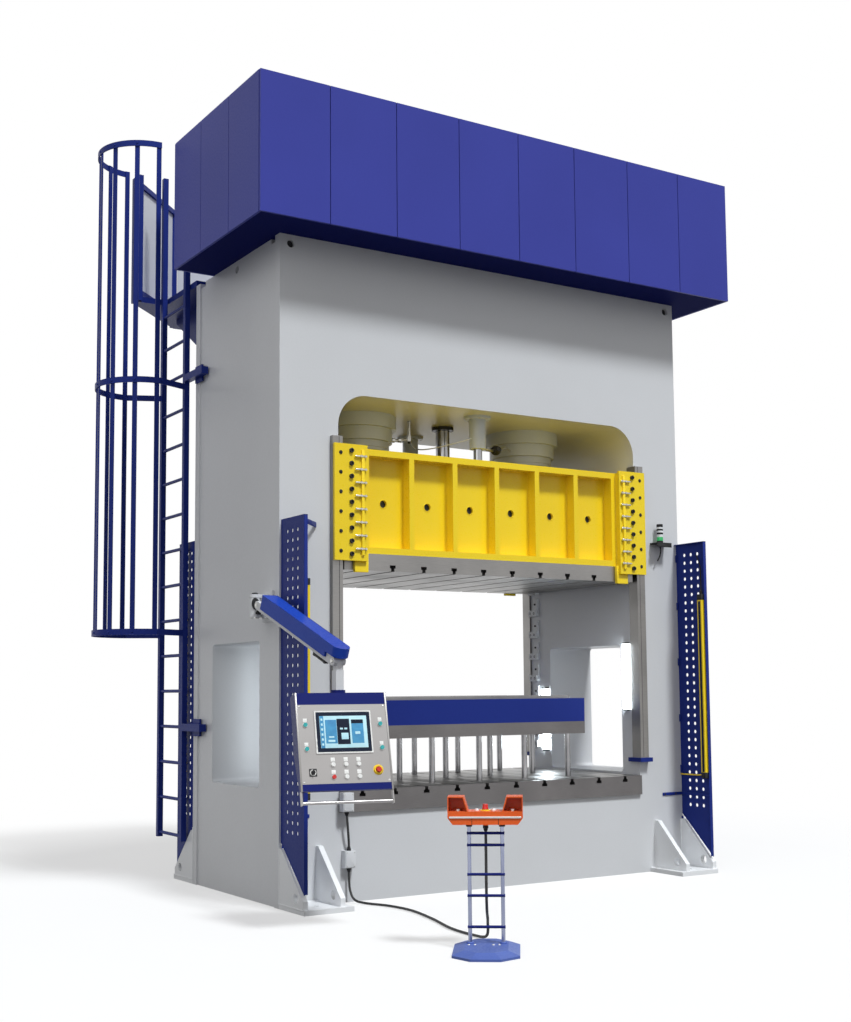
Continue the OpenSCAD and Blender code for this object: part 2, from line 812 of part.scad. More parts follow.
// Carries the ring's first direction along the path without twist
function carried(t, last) = unit(last - (last * t) * t);
function ring_sides(path, i = 0, last = undef, done = []) = i == len(path) ? done :
  let (t = ring_dir(path, i), s = is_undef(last) ? side_of(t) : carried(t, last))
  ring_sides(path, i + 1, s, concat(done, [s]));

// Round cord swept along a route as one closed solid
module cord(route, d) {
  path = curve(route);
  sides = ring_sides(path);
  n = cord_sides;
  points = [for (i = [0 : len(path) - 1], k = [0 : n - 1])
    let (t = ring_dir(path, i), u = sides[i], v = cross(t, u), a = 360 * k / n)
    path[i] + d / 2 * (cos(a) * u + sin(a) * v)];
  last = (len(path) - 1) * n;
  walls = [for (i = [0 : len(path) - 2], k = [0 : n - 1])
    let (a = i * n + k, b = i * n + (k + 1) % n) [a, a + n, b + n, b]];
  ends = [[for (k = [0 : n - 1]) k], [for (k = [n - 1 : -1 : 0]) last + k]];
  polyhedron(points, concat(walls, ends), convexity = 8);
}

module cord_upper() {
  color(dark) cord(upper_route, cord_d);
}

module cord_stand() {
  color(dark) cord(stand_route, cord_d);
}

stand_pos = [-1619, -2941];
leg_d = 24;
leg_x = 100;
stand_top = stand_h + 80;
hood_w = 124;
hood_h = 88;

module at_stand() {
  translate([stand_pos[0], stand_pos[1], 0]) rotate([0, 0, stand_yaw]) children();
}

// Rectangle with its four corners cut off, centred
module cut_rectangle(w, l, corner) {
  hull() {
    square([w - 2 * corner, l], center = true);
    square([w, l - 2 * corner], center = true);
  }
}

// Eight-sided foot with a low skirt and long slopes, set forward of the legs
module stand_base() {
  skirt = 14;
  slope = 70;
  corner = 110;
  forward = 70;
  color(trim_blue) at_stand() translate([0, -forward, 0]) hull() {
    linear_extrude(skirt) cut_rectangle(stand_base_w, stand_base_l, corner);
    translate([0, 0, stand_base_h - 1]) linear_extrude(1)
      cut_rectangle(stand_base_w - 2 * slope, stand_base_l - 2 * slope, corner - slope / 2);
  }
}

module stand_frame() {
  rung_heights = [138, 323, 449, 624, 695];
  color(steel) at_stand() {
    both_sides() translate([leg_x, 0, stand_base_h]) cylinder(d = leg_d, h = stand_h - stand_base_h);
    for (z = rung_heights) translate([-leg_x, 0, z]) rotate([0, 90, 0]) cylinder(d = 14, h = 2 * leg_x);
  }
}

// Sloped hood that shields a palm button, open to the front
module hood() {
  wall = 6;
  lean = 26;
  x1 = stand_w / 2;
  x0 = x1 - hood_w;
  difference() {
    upright_plate(-stand_d / 2, stand_d)
      polygon([[x0, stand_top], [x1, stand_top], [x1, stand_top + hood_h], [x0 + lean, stand_top + hood_h]]);
    upright_plate(-stand_d / 2 - cut, stand_d + cut - wall)
      polygon([[x0 + wall, stand_top - 1], [x1 - wall, stand_top - 1], [x1 - wall, stand_top + hood_h - wall],
        [x0 + lean + wall, stand_top + hood_h - wall]]);
  }
}

palm_x = stand_w / 2 - hood_w / 2;
palm_d = 44;
palm_travel = 6;
stop_d = 40;
stop_stem_d = 24;

module stand_console() {
  gland_d = 30;
  taper = 30;
  rim_z = stand_h + 40;
  color(orange) at_stand() {
    difference() {
      upright_plate(-stand_d / 2, stand_d) polygon([
        [-stand_w / 2 + taper, stand_h], [stand_w / 2 - taper, stand_h], [stand_w / 2, rim_z],
        [stand_w / 2, stand_top], [-stand_w / 2, stand_top], [-stand_w / 2, rim_z]
      ]);
      for (x = [-palm_x, palm_x]) translate([x, 0, stand_top - 26])
        cylinder(d = palm_d + 2 * run_gap, h = 26 + cut);
      translate([0, 0, stand_top - 26]) cylinder(d = stop_stem_d + 2 * run_gap, h = 26 + cut);
    }
    both_sides() hood();
    translate([0, 36, stand_h - 15]) cylinder(d = gland_d, h = 15);
  }
}

module palm_button(side) {
  rise = 10;
  color(steel) at_stand() translate([side * palm_x, 0, stand_top - 26 + palm_travel + 2])
    cylinder(d = palm_d, h = 26 - palm_travel - 2 + rise);
}

module palm_button_left() { palm_button(-1); }
module palm_button_right() { palm_button(1); }

// Mushroom button on a stem that runs in its bore
module stop_button(stem_l, travel) {
  translate([0, 0, -stem_l]) cylinder(d = stop_stem_d, h = stem_l + travel + 2);
  translate([0, 0, travel + 2]) cylinder(d1 = stop_d, d2 = stop_d - 8, h = 16);
}

module stand_stop() {
  color("red") at_stand() translate([0, 0, stand_top]) stop_button(18, 6);
}

// Vertical swivel axis of the arm, beside the left upright
shoulder = [-side_x - 114, front_y + 174];
pivot_d = 40;
tilt_pin_d = 30;
beam_w = 90;
beam_h = 60;
tongue_w = 40;
fork_gap = 1;
fork_l = 75;

module at_shoulder() {
  translate([shoulder[0], shoulder[1], arm_z]) rotate([0, 0, arm_yaw]) children();
}

module at_arm() {
  at_shoulder() translate([0, -shoulder_l, 0]) rotate([arm_drop, 0, 0]) children();
}

module at_knuckle() {
  at_shoulder()
    translate([0, -shoulder_l - arm_l * cos(arm_drop), -arm_l * sin(arm_drop)])
      rotate([0, 0, -arm_yaw]) children();
}

// Wall plate with two ears that hold the swivel pin
module arm_bracket() {
  ear_t = 25;
  ear_r = 48;
  ear_gap = 122;
  wall_x = -side_x + side_recess;
  plate = [30, 170, 230];
  color(light_grey) {
    translate([wall_x - plate[0], shoulder[1] - plate[1] / 2, arm_z - plate[2] / 2]) cube(plate);
    for (z = [arm_z - ear_gap / 2 - ear_t, arm_z + ear_gap / 2]) difference() {
      union() {
        translate([shoulder[0], shoulder[1], z]) cylinder(r = ear_r, h = ear_t);
        translate([shoulder[0], shoulder[1] - ear_r, z])
          cube([wall_x - plate[0] - shoulder[0], 2 * ear_r, ear_t]);
      }
      translate([shoulder[0], shoulder[1], z - cut]) cylinder(d = pivot_d + 2 * run_gap, h = ear_t + 2 * cut);
    }
  }
}

// Swivel block with its pin and the tongue that carries the arm
module arm_base() {
  block_h = 120;
  pin_h = 178;
  color(light_grey) at_shoulder() {
    translate([0, 0, -block_h / 2]) cylinder(r = 46, h = block_h);
    translate([0, 0, -pin_h / 2]) cylinder(d = pivot_d, h = pin_h);
    difference() {
      union() {
        translate([-tongue_w / 2, -shoulder_l, -beam_h / 2 + 2]) cube([tongue_w, shoulder_l, beam_h - 4]);
        translate([-tongue_w / 2, -shoulder_l, 0]) rotate([0, 90, 0]) cylinder(d = beam_h - 4, h = tongue_w);
      }
      translate([-beam_w, -shoulder_l, 0]) rotate([0, 90, 0])
        cylinder(d = tilt_pin_d + 2 * run_gap, h = 2 * beam_w);
    }
  }
}

// Tube of the arm, forked at both ends, with its two tilt pins
module arm_beam() {
  round_d = beam_h;
  color(light_grey) at_arm() {
    difference() {
      union() {
        translate([-beam_w / 2, -arm_l, -beam_h / 2]) cube([beam_w, arm_l, beam_h]);
        for (y = [0, -arm_l]) translate([-beam_w / 2, y, 0]) rotate([0, 90, 0])
          cylinder(d = round_d, h = beam_w);
      }
      for (y = [-fork_l, -arm_l - fork_l]) translate([-tongue_w / 2 - fork_gap, y, -beam_h])
        cube([tongue_w + 2 * fork_gap, 2 * fork_l, 2 * beam_h]);
    }
    for (y = [0, -arm_l]) translate([-beam_w / 2, y, 0]) rotate([0, 90, 0])
      cylinder(d = tilt_pin_d, h = beam_w);
  }
}

// Hood over the arm with a rounded nose, seated on the beam
module arm_cover() {
  cover_w = 124;
  cover_h = 78;
  skirt = 30;
  start = 90;
  end = arm_l - fork_l - 10;
  color(trim_blue) at_arm() {
    translate([-cover_w / 2, -arm_l, beam_h / 2 + 8]) cube([cover_w, arm_l - start, cover_h - 8]);
    translate([-beam_w / 2, -end, beam_h / 2]) cube([beam_w, end - start, 8]);
    for (side = [-1, 1]) translate([side * (cover_w / 2 + beam_w / 2) / 2, 0, 0])
      translate([-(cover_w - beam_w) / 4, -end, beam_h / 2 - skirt])
        cube([(cover_w - beam_w) / 2, end - start, skirt + 8]);
    translate([0, -arm_l, beam_h / 2 + 8]) cylinder(r = cover_w / 2, h = cover_h - 8);
  }
}

column_s = 58;
console_pin_d = 50;
console_pin_l = 46;
knuckle_drop = 62;
knuckle_bottom = -knuckle_drop - column_l;

// Tongue under the arm's end, the column and the pin that the console turns on
module console_knuckle() {
  color(light_grey) at_knuckle() {
    difference() {
      union() {
        rotate([0, 0, arm_yaw]) {
          translate([-tongue_w / 2, 0, 0]) rotate([0, 90, 0]) cylinder(d = beam_h - 4, h = tongue_w);
          translate([-tongue_w / 2, -(beam_h - 4) / 2, -knuckle_drop])
            cube([tongue_w, beam_h - 4, knuckle_drop]);
        }
      }
      rotate([0, 0, arm_yaw]) translate([-beam_w, 0, 0]) rotate([0, 90, 0])
        cylinder(d = tilt_pin_d + 2 * run_gap, h = 2 * beam_w);
    }
    translate([-column_s / 2, -column_s / 2, knuckle_bottom]) cube([column_s, column_s, column_l]);
    translate([0, 0, knuckle_bottom - console_pin_l]) cylinder(d = console_pin_d, h = console_pin_l);
  }
}

face_top = 80;
face_h = 525;
face_t = 6;
// Depth of the console's narrow foot
foot_d = 40;
collar_h = 34;

// The console's own frame: x along its face, z up its face, y through it, top at z = 0
module at_console() {
  at_knuckle() translate([0, 0, knuckle_bottom - collar_h])
    rotate([0, 0, console_yaw]) rotate([-console_lean, 0, 0]) children();
}

// Leaning box with a chamfered back and a level collar for the column
module console_housing() {
  chamfer = 0.62;
  color(trim_blue) {
    at_console() difference() {
      side_plate(-console_w / 2, console_w) polygon([
        [-console_d / 2, -console_h], [-console_d / 2, 0], [console_d / 2, 0],
        [console_d / 2, -console_h * chamfer], [-console_d / 2 + foot_d, -console_h]
      ]);
      rotate([console_lean, 0, 0]) translate([0, 0, -20]) cylinder(d = console_pin_d + 2 * run_gap, h = 200);
      translate([-console_w / 2 + 12, -console_d / 2 - cut, -face_top - face_h])
        cube([console_w - 24, face_t + cut, face_h]);
      for (p = control_points) translate([p[0], -console_d / 2, p[1]]) rotate([90, 0, 0])
        translate([0, 0, -40]) cylinder(d = p[2] + 2 * run_gap, h = 80);
    }
    at_knuckle() rotate([0, 0, console_yaw]) translate([0, 0, knuckle_bottom - collar_h - 14]) difference() {
      cylinder(d = 100, h = collar_h + 14 - seat_gap);
      translate([0, 0, -cut]) cylinder(d = console_pin_d + 2 * run_gap, h = collar_h + 14 + 2 * cut);
    }
  }
}

side_button_x = 256;
lamp_points = [for (x = [-side_button_x, side_button_x], z = [-215, -375]) [x, z]];
mode_points = [for (z = [-480, -562], x = [-87, 0, 87]) [x, z]];
stop_point = [218, -522];
selector_point = [-225, -530];
selector_d = 26;
control_points = concat(
  [for (p = concat(lamp_points, mode_points)) [p[0], p[1], button_d]],
  [[stop_point[0], stop_point[1], stop_stem_d], [selector_point[0], selector_point[1], selector_d]]
);
screen_size = [387, 284];
screen_z = -266;

// Stainless front panel, let into the console, and the handle between two cheeks under its foot
module console_face() {
  cheek = [8, foot_d - 8, 90];
  handle_d = 22;
  handle_inset = 3;
  color(steel) at_console() {
    difference() {
      translate([-console_w / 2 + 12, -console_d / 2, -face_top - face_h])
        cube([console_w - 24, face_t, face_h]);
      for (p = control_points) translate([p[0], -console_d / 2 + face_t + cut, p[1]]) rotate([90, 0, 0])
        cylinder(d = p[2] + 2 * run_gap, h = face_t + 2 * cut);
    }
    translate([0, -console_d / 2, -console_h - cheek[2]]) {
      for (x = [-console_w / 2, console_w / 2 - cheek[0]]) translate([x, 4, 0]) cube(cheek);
      translate([-console_w / 2 + handle_inset, 4 + cheek[1] / 2, cheek[1] / 2]) rotate([0, 90, 0])
        cylinder(d = handle_d, h = console_w - 2 * handle_inset);
    }
  }
}

module console_screen() {
  bezel_t = 8;
  color(dark) at_console()
    translate([-screen_size[0] / 2, -console_d / 2 - bezel_t, screen_z - screen_size[1] / 2])
      cube([screen_size[0], bezel_t, screen_size[1]]);
}

button_rise = 12;

// Round push button that runs in the panel
module push_button(point, tint) {
  color(tint) at_console() translate([point[0], -console_d / 2 - button_rise, point[1]]) rotate([-90, 0, 0])
    cylinder(d = button_d, h = button_rise + 30);
}

// Lamps beside the screen
module pilot_lamps() {
  for (p = lamp_points) push_button(p, "teal");
}

module mode_button_1() { push_button(mode_points[0], "white"); }
module mode_button_2() { push_button(mode_points[1], "white"); }
module mode_button_3() { push_button(mode_points[2], "white"); }
module mode_button_4() { push_button(mode_points[3], "red"); }
module mode_button_5() { push_button(mode_points[4], "white"); }
module mode_button_6() { push_button(mode_points[5], "white"); }

module console_stop() {
  color("red") at_console() translate([stop_point[0], -console_d / 2, stop_point[1]]) rotate([90, 0, 0])
    stop_button(30, 6);
}

// Turning switch with a lever bar across its knob
module selector_switch() {
  color(dark) at_console() translate([selector_point[0], -console_d / 2, selector_point[1]])
    rotate([90, 0, 0]) {
      translate([0, 0, -30]) cylinder(d = selector_d, h = 44);
      translate([-5, -17, 14]) cube([10, 34, 10]);
    }
}

// Welded slide box: ribbed pockets front and back, holes in the webs, narrower ends
module slide_box() {
  end_y = 555;
  rim = 50;
  half_end = rail_inner - 28;
  pitch = (2 * slide_half - rib_t) / pocket_count;
  color(slide_yellow) difference() {
    union() {
      translate([-slide_half, -slide_face, slide_box_z]) cube([2 * slide_half, 2 * slide_face, slide_box_h]);
      translate([-half_end, -end_y, slide_box_z]) cube([2 * half_end, 2 * end_y, slide_box_h]);
    }
    front_and_back() for (i = [0 : pocket_count - 1]) translate([-slide_half + rib_t + i * pitch, 0, 0]) {
      translate([0, slide_face - pocket_depth, slide_box_z + rim])
        cube([pitch - rib_t, pocket_depth + cut, slide_box_h - 2 * rim]);
      translate([(pitch - rib_t) / 2, slide_face - pocket_depth - plate_t, slide_box_z + slide_box_h / 2])
        rotate([-90, 0, 0]) cylinder(d = pocket_hole_d, h = plate_t + pocket_depth);
    }
  }
}

module slide_plate() {
  half_end = rail_inner - 28;
  color(steel) difference() {
    translate([-half_end, -slide_face, slide_z]) cube([2 * half_end, 2 * slide_face, slide_plate_h]);
    for (x = slots) translate([x, 0, slide_z]) mirror([0, 0, 1]) t_slot(2 * slide_face + 2 * cut);
  }
}

// Guide shoes at the four corners: a block on the slide, a shoe beside the rail, a keeper before it
module guide_blocks() {
  block_z = slide_z + 65;
  block_top = slide_top + 15;
  end_y = 555;
  half_end = rail_inner - 28;
  shoe_x = rail_inner - guide_gap;
  shoe_back = -front_y - 65;
  keeper_x = rail_inner + rail_w - 4;
  h = block_top - block_z;
  color(slide_yellow) four_corners() {
    translate([slide_half, end_y, slide_box_z]) cube([half_end - slide_half, shoe_back - end_y, slide_box_h]);
    translate([slide_half, shoe_back, slide_box_z])
      cube([shoe_x - slide_half, shoe_face - shoe_back, slide_box_h]);
    translate([slide_half, shoe_face, block_z]) cube([keeper_x - slide_half, keeper_t, h]);
  }
}

// Main piston rods, return rods and the levelling rod
module slide_rods() {
  color(steel) translate([0, 0, slide_top]) {
    both_sides() translate([cylinder_x, 0, 0]) cylinder(d = rod_d, h = rod_l);
    front_and_back() translate([0, return_y, 0]) cylinder(d = return_rod_d, h = rod_l);
    cylinder(d = centre_rod_d, h = rod_l);
  }
}

// Barrels of the die cushion on the floor of the bed
module cushion_cylinders() {
  color(dark) both_sides() translate([cushion_x, 0, cavity_z]) difference() {
    cylinder(d = cushion_barrel_d, h = cushion_barrel_h);
    translate([0, 0, 20]) cylinder(d = cushion_rod_d + 2 * run_gap, h = cushion_barrel_h);
  }
}

module cushion_table() {
  rod_in = 15;
  side_gap = 60;
  bottom = cavity_z + cushion_barrel_h - rod_in;
  color(steel) {
    translate([-cavity_x + side_gap, -cavity_y + side_gap, table_z])
      cube([2 * (cavity_x - side_gap), 2 * (cavity_y - side_gap), table_h]);
    both_sides() translate([cushion_x, 0, bottom]) cylinder(d = cushion_rod_d, h = table_z - bottom);
  }
}

module cushion_pins() {
  color(steel) for (p = pins) translate([p[0], p[1], table_z + table_h])
    cylinder(d = pin_d, h = holder_z - table_z - table_h);
}

module holder_plate() {
  color(steel) translate([-holder_w / 2, -holder_d / 2, holder_z]) cube([holder_w, holder_d, holder_plate_h]);
}

module blank_holder() {
  color(trim_blue) translate([-holder_w / 2, -holder_d / 2, holder_box_z])
    cube([holder_w, holder_d, holder_box_h]);
}

module draw_plate() {
  inset = 90;
  color(steel) translate([-holder_w / 2 + inset, -holder_d / 2 + inset, draw_plate_z])
    cube([holder_w - 2 * inset, holder_d - 2 * inset, draw_plate_h]);
}

left_upright();
right_upright();
crown();
bed();
anchor_feet();
bolster();
guide_rails();
rail_keepers();
rail_stops();
main_cylinders();
return_cylinders();
ram_glands();
head_frame();
head_panels();
power_unit();
ladder();
ladder_cage();
platform_deck();
platform_panels();
side_guards();
light_curtains();
signal_tower();
work_lights();
cable_boxes();
cord_upper();
cord_stand();
stand_base();
stand_frame();
stand_console();
arm_bracket();
cushion_cylinders();
slide_box();
slide_plate();
guide_blocks();
slide_rods();
cushion_table();
cushion_pins();
blank_holder();
holder_plate();
draw_plate();
arm_base();
arm_beam();
arm_cover();
console_knuckle();
console_housing();
console_face();
console_screen();
pilot_lamps();
selector_switch();
console_stop();
mode_button_1();
mode_button_2();
mode_button_3();
mode_button_4();
mode_button_5();
mode_button_6();
palm_button_left();
palm_button_right();
stand_stop();
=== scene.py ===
"""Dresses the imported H-frame deep drawing press and stands it in a plain pale studio."""
import logging
import math
from dataclasses import dataclass, field
from enum import Enum
from typing import Iterable, Sequence

import bpy
import numpy as np
from mathutils import Matrix, Vector

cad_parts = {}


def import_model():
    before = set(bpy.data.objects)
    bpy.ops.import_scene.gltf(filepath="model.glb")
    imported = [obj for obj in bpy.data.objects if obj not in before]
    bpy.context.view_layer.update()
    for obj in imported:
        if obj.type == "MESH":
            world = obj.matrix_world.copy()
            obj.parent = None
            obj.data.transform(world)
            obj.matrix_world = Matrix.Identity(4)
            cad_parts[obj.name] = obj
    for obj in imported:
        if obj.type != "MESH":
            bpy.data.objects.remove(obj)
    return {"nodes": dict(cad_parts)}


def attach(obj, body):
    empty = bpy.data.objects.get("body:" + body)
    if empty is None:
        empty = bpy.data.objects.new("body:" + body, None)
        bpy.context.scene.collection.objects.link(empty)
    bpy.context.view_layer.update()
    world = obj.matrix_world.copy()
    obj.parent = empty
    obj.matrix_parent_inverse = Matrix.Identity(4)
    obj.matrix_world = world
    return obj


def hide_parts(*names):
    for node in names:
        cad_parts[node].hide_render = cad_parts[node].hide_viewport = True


LOG = logging.getLogger("press")
BUMP_DEPTH = 0.001
Colour = tuple[float, float, float]
Point = tuple[float, float, float]
Pair = tuple[float, float]
Few = tuple[float, ...]
Route = tuple[Point, ...]
Row = Sequence[float]
Profile = Sequence[Pair]
Socket = bpy.types.NodeSocket
Feeds = bpy.types.bpy_prop_collection

FRAME = "frame"
LEFT, RIGHT = (-1, 0, 0), (1, 0, 0)
FRONT, BACK = (0, -1, 0), (0, 1, 0)
DOWN, UP = (0, 0, -1), (0, 0, 1)


# Surfaces: every new shape is a skin over rings of points


@dataclass
class Patch:
    """Points and faces of a piece of surface, in metres."""

    points: np.ndarray
    faces: list[tuple[int, ...]]

    @staticmethod
    def joined(patches: Iterable["Patch"]) -> "Patch":
        """Puts several patches into one.

        Args:
            patches: the patches, which stay separate shells.

        Returns:
            One patch with all their points and faces.
        """
        points: list[np.ndarray] = []
        faces: list[tuple[int, ...]] = []
        start = 0
        for patch in patches:
            points.append(patch.points)
            faces.extend(tuple(i + start for i in face) for face in patch.faces)
            start += len(patch.points)
        return Patch(np.vstack(points), faces)

    def moved(self, by: Row) -> "Patch":
        """The same patch, moved."""
        return Patch(self.points + by, self.faces)


@dataclass(frozen=True)
class Axes:
    """A local frame: where a small shape stands and which way its own axes point."""

    origin: np.ndarray
    turn: np.ndarray

    @staticmethod
    def facing(origin: Row, normal: Row, up: Row = UP) -> "Axes":
        """Frame whose z is the normal of a face and whose y is as near to up as it can be.

        Args:
            origin: point on the face.
            normal: direction out of the face.
            up: direction that the local y follows.

        Returns:
            The frame, with x, y and z as the rows of its turn.
        """
        z = np.asarray(normal, float) / np.linalg.norm(normal)
        x = np.cross(np.asarray(up, float), z)
        if np.linalg.norm(x) < 1e-6:
            x = np.cross((0.0, 1.0, 0.0), z)
        x /= np.linalg.norm(x)
        return Axes(np.asarray(origin, float), np.array([x, np.cross(z, x), z]))

    def at(self, x: float, y: float, z: float = 0.0) -> "Axes":
        """The same frame, moved along its own axes."""
        return Axes(self.origin + np.array([x, y, z]) @ self.turn, self.turn)

    def place(self, patch: Patch) -> Patch:
        """The patch, carried from its own frame into the press's frame."""
        return Patch(self.origin + patch.points @ self.turn, patch.faces)


def stood(patch: Patch, origin: Row, normal: Row, up: Row = UP) -> Patch:
    """The patch, stood on a face at the origin with its z along the normal."""
    return Axes.facing(origin, normal, up).place(patch)


def loft(rings: np.ndarray, closed_ends: bool = True) -> Patch:
    """Skin over a row of rings: point (i, k) joins (i, k+1), (i+1, k+1) and (i+1, k), round each ring.

    Args:
        rings: array of rings by points by xyz, each ring anticlockwise seen from the row's end.
        closed_ends: whether a flat face closes the first and the last ring.

    Returns:
        The closed skin.
    """
    count, sides = rings.shape[:2]
    i, k = np.meshgrid(np.arange(count - 1), np.arange(sides), indexing="ij")
    after = (k + 1) % sides
    low, high = i * sides, (i + 1) * sides
    quads = np.stack([low + k, low + after, high + after, high + k], -1)
    faces = [tuple(q) for q in quads.reshape(-1, 4).tolist()]
    if closed_ends:
        faces.append(tuple(range(sides - 1, -1, -1)))
        faces.append(tuple(range((count - 1) * sides, count * sides)))
    return Patch(rings.reshape(-1, 3), faces)


def turned(profile: Profile, sides: int = 24, flats: int = 0) -> Patch:
    """Lathe shape: each (radius, height) of the profile sweeps a ring about z.

    Args:
        profile: radii and heights from the foot to the top.
        sides: points on a ring.
        flats: number of flats cut on the rings, or 0 for round ones.

    Returns:
        The closed shape, with flat faces over its first and last ring.
    """
    angle = np.arange(sides) * 2 * math.pi / sides
    row = np.asarray(profile, float)
    reach = np.ones(sides)
    if flats:
        sector = 2 * math.pi / flats
        reach = math.cos(sector / 2) / np.cos((angle + sector / 2) % sector - sector / 2)
    ring = np.stack([np.cos(angle) * reach, np.sin(angle) * reach], -1)
    rings = np.empty((len(row), sides, 3))
    rings[..., :2] = row[:, None, :1] * ring[None]
    rings[..., 2] = row[:, 1:]
    return loft(rings)


def rounded_outline(width: float, height: float, radius: float, steps: int = 4) -> np.ndarray:
    """Outline of a rectangle with round corners: a corner's centre plus radius times (cos a, sin a).

    Args:
        width: size along x.
        height: size along y.
        radius: corner radius.
        steps: points on each corner, less one.

    Returns:
        Points in the plane, anticlockwise.
    """
    corner = np.arange(4)[:, None]
    angle = (corner + np.arange(steps + 1)[None] / steps) * math.pi / 2
    centre_x = np.array([1, -1, -1, 1])[:, None] * (width / 2 - radius)
    centre_y = np.array([1, 1, -1, -1])[:, None] * (height / 2 - radius)
    x, y = centre_x + radius * np.cos(angle), centre_y + radius * np.sin(angle)
    return np.stack([x, y], -1).reshape(-1, 2)


def raised(outline: np.ndarray, levels: Profile) -> Patch:
    """Outline raised along z, drawn in at each level along its own edge normals.

    Args:
        outline: points in the plane, anticlockwise.
        levels: height and inset of each ring, from the foot up.

    Returns:
        The closed solid.
    """
    edge = np.roll(outline, -1, 0) - outline
    normal = np.stack([edge[:, 1], -edge[:, 0]], -1)
    normal /= np.maximum(np.linalg.norm(normal, axis=1, keepdims=True), 1e-9)
    corner = normal + np.roll(normal, 1, 0)
    corner /= np.maximum((corner * normal).sum(1, keepdims=True), 0.3)
    step = np.asarray(levels, float)
    rings = np.empty((len(step), len(outline), 3))
    rings[..., :2] = outline[None] - step[:, 1, None, None] * corner[None]
    rings[..., 2] = step[:, :1]
    return loft(rings)


def slab(width: float, height: float, depth: float, radius: float = 0.004,
         edge: float = 0.0015) -> Patch:
    """Plate with round corners and eased edges, standing on z = 0 and centred on x and y.

    Args:
        width: size along x.
        height: size along y.
        depth: size along z.
        radius: corner radius in plan.
        edge: width of the eased edge.

    Returns:
        The closed plate.
    """
    eased = [(depth - edge, 0), (depth - edge * 0.3, edge * 0.5), (depth, edge * 1.4)]
    return raised(rounded_outline(width, height, radius), [(0, edge), (edge, 0), *eased])


def block(low: Point, high: Point, edge: float = 0.002) -> Patch:
    """Eased plate between two opposite corners in the press's frame.

    Args:
        low: lowest corner.
        high: highest corner.
        edge: width of the eased edge.

    Returns:
        The closed plate.
    """
    size = np.subtract(high, low)
    middle = np.add(low, high) / 2
    patch = slab(*size, max(edge, 0.001), edge)
    return patch.moved((middle[0], middle[1], low[2]))


def smooth_path(route: Sequence[Point], steps: int) -> np.ndarray:
    """Catmull-Rom curve: a cubic between each two points, with slopes from their neighbours.

    Args:
        route: points that the curve passes through.
        steps: pieces between two points.

    Returns:
        Points along the curve.
    """
    p = np.asarray(route, float)
    p = np.vstack([p[:1], p, p[-1:]])
    a, b, c, d = (p[i:len(p) - 3 + i, None] for i in range(4))
    t = (np.arange(steps) / steps)[None, :, None]
    bend = 2 * b + (c - a) * t + (2 * a - 5 * b + 4 * c - d) * t**2 + (3 * b - a - 3 * c + d) * t**3
    return np.vstack([(bend / 2).reshape(-1, 3), p[-1:]])


def tube(path: np.ndarray, radius: float | np.ndarray, sides: int = 12,
         side: Point = (0.31, 0.17, 0.93)) -> Patch:
    """Round tube: at each point of the path a circle in the plane across its direction.

    Args:
        path: points along the middle.
        radius: one radius, or one for each point.
        sides: points on each circle.
        side: direction, never along the path, from which the circles' first axis is taken.

    Returns:
        The closed tube.
    """
    along = np.gradient(path, axis=0)
    along /= np.linalg.norm(along, axis=1, keepdims=True)
    u = np.cross(np.asarray(side, float), along)
    u /= np.linalg.norm(u, axis=1, keepdims=True)
    v = np.cross(along, u)
    angle = np.arange(sides) * 2 * math.pi / sides
    reach = np.broadcast_to(np.asarray(radius, float), (len(path),))[:, None, None]
    circle = np.cos(angle)[None, :, None] * u[:, None] + np.sin(angle)[None, :, None] * v[:, None]
    return loft(path[:, None] + reach * circle)


class Head(Enum):
    """Kinds of screw head."""

    SOCKET = "socket"
    HEX = "hex"
    DOME = "dome"
    FLUSH = "flush"


def screw(head: Head, d: float) -> Patch:
    """Screw head seen from its top, standing on z = 0.

    Args:
        head: kind of head.
        d: width across the head.

    Returns:
        The closed head, sunk a little into its seat.
    """
    r = d / 2
    if head is Head.HEX:
        body = turned([(r, -0.001), (r, 0.52 * r), (0.9 * r, 0.62 * r), (0.3 * r, 0.64 * r)], 12, 6)
        ring = turned([(1.25 * r, -0.001), (1.25 * r, 0.12 * r), (1.1 * r, 0.14 * r)], 16)
        return Patch.joined([ring, body])
    if head is Head.DOME:
        return turned([(r, -0.001), (r, 0.2 * r), (0.86 * r, 0.45 * r), (0.5 * r, 0.66 * r),
                       (0.1 * r, 0.72 * r)], 12)
    if head is Head.FLUSH:
        return turned([(r, -0.004), (r, 0.0003), (0.55 * r, 0.0004), (0.5 * r, -0.0028),
                       (0.05 * r, -0.003)], 12)
    return turned([(r, -0.001), (r, 0.86 * r), (0.9 * r, r), (0.56 * r, r), (0.5 * r, 0.45 * r),
                   (0.05 * r, 0.42 * r)], 12)


def spots(*columns: Iterable[float]) -> np.ndarray:
    """Every combination of the given coordinates, as rows."""
    grids = np.meshgrid(*[np.asarray(list(c), float) for c in columns], indexing="ij")
    return np.stack(grids, -1).reshape(-1, len(columns))


def screws(head: Head, d: float, points: np.ndarray, normal: Row, up: Row = UP) -> Patch:
    """One screw head at each point of a face.

    Args:
        head: kind of head.
        d: width across a head.
        points: places on the face, one row each.
        normal: direction out of the face.
        up: direction that a head's flats follow.

    Returns:
        All heads as one patch.
    """
    one = stood(screw(head, d), (0, 0, 0), normal, up)
    return Patch.joined([one.moved(place) for place in np.atleast_2d(points)])


def mirrored(axis: int, *patches: Patch) -> Patch:
    """The patches and their mirror image across a plane through the origin, with faces outward."""
    flip = np.ones(3)
    flip[axis] = -1
    one = Patch.joined(patches)
    return Patch.joined([one, Patch(one.points * flip, [face[::-1] for face in one.faces])])


def four_corners(*patches: Patch) -> Patch:
    """The patches at all four corners of the frame."""
    return mirrored(1, mirrored(0, *patches))


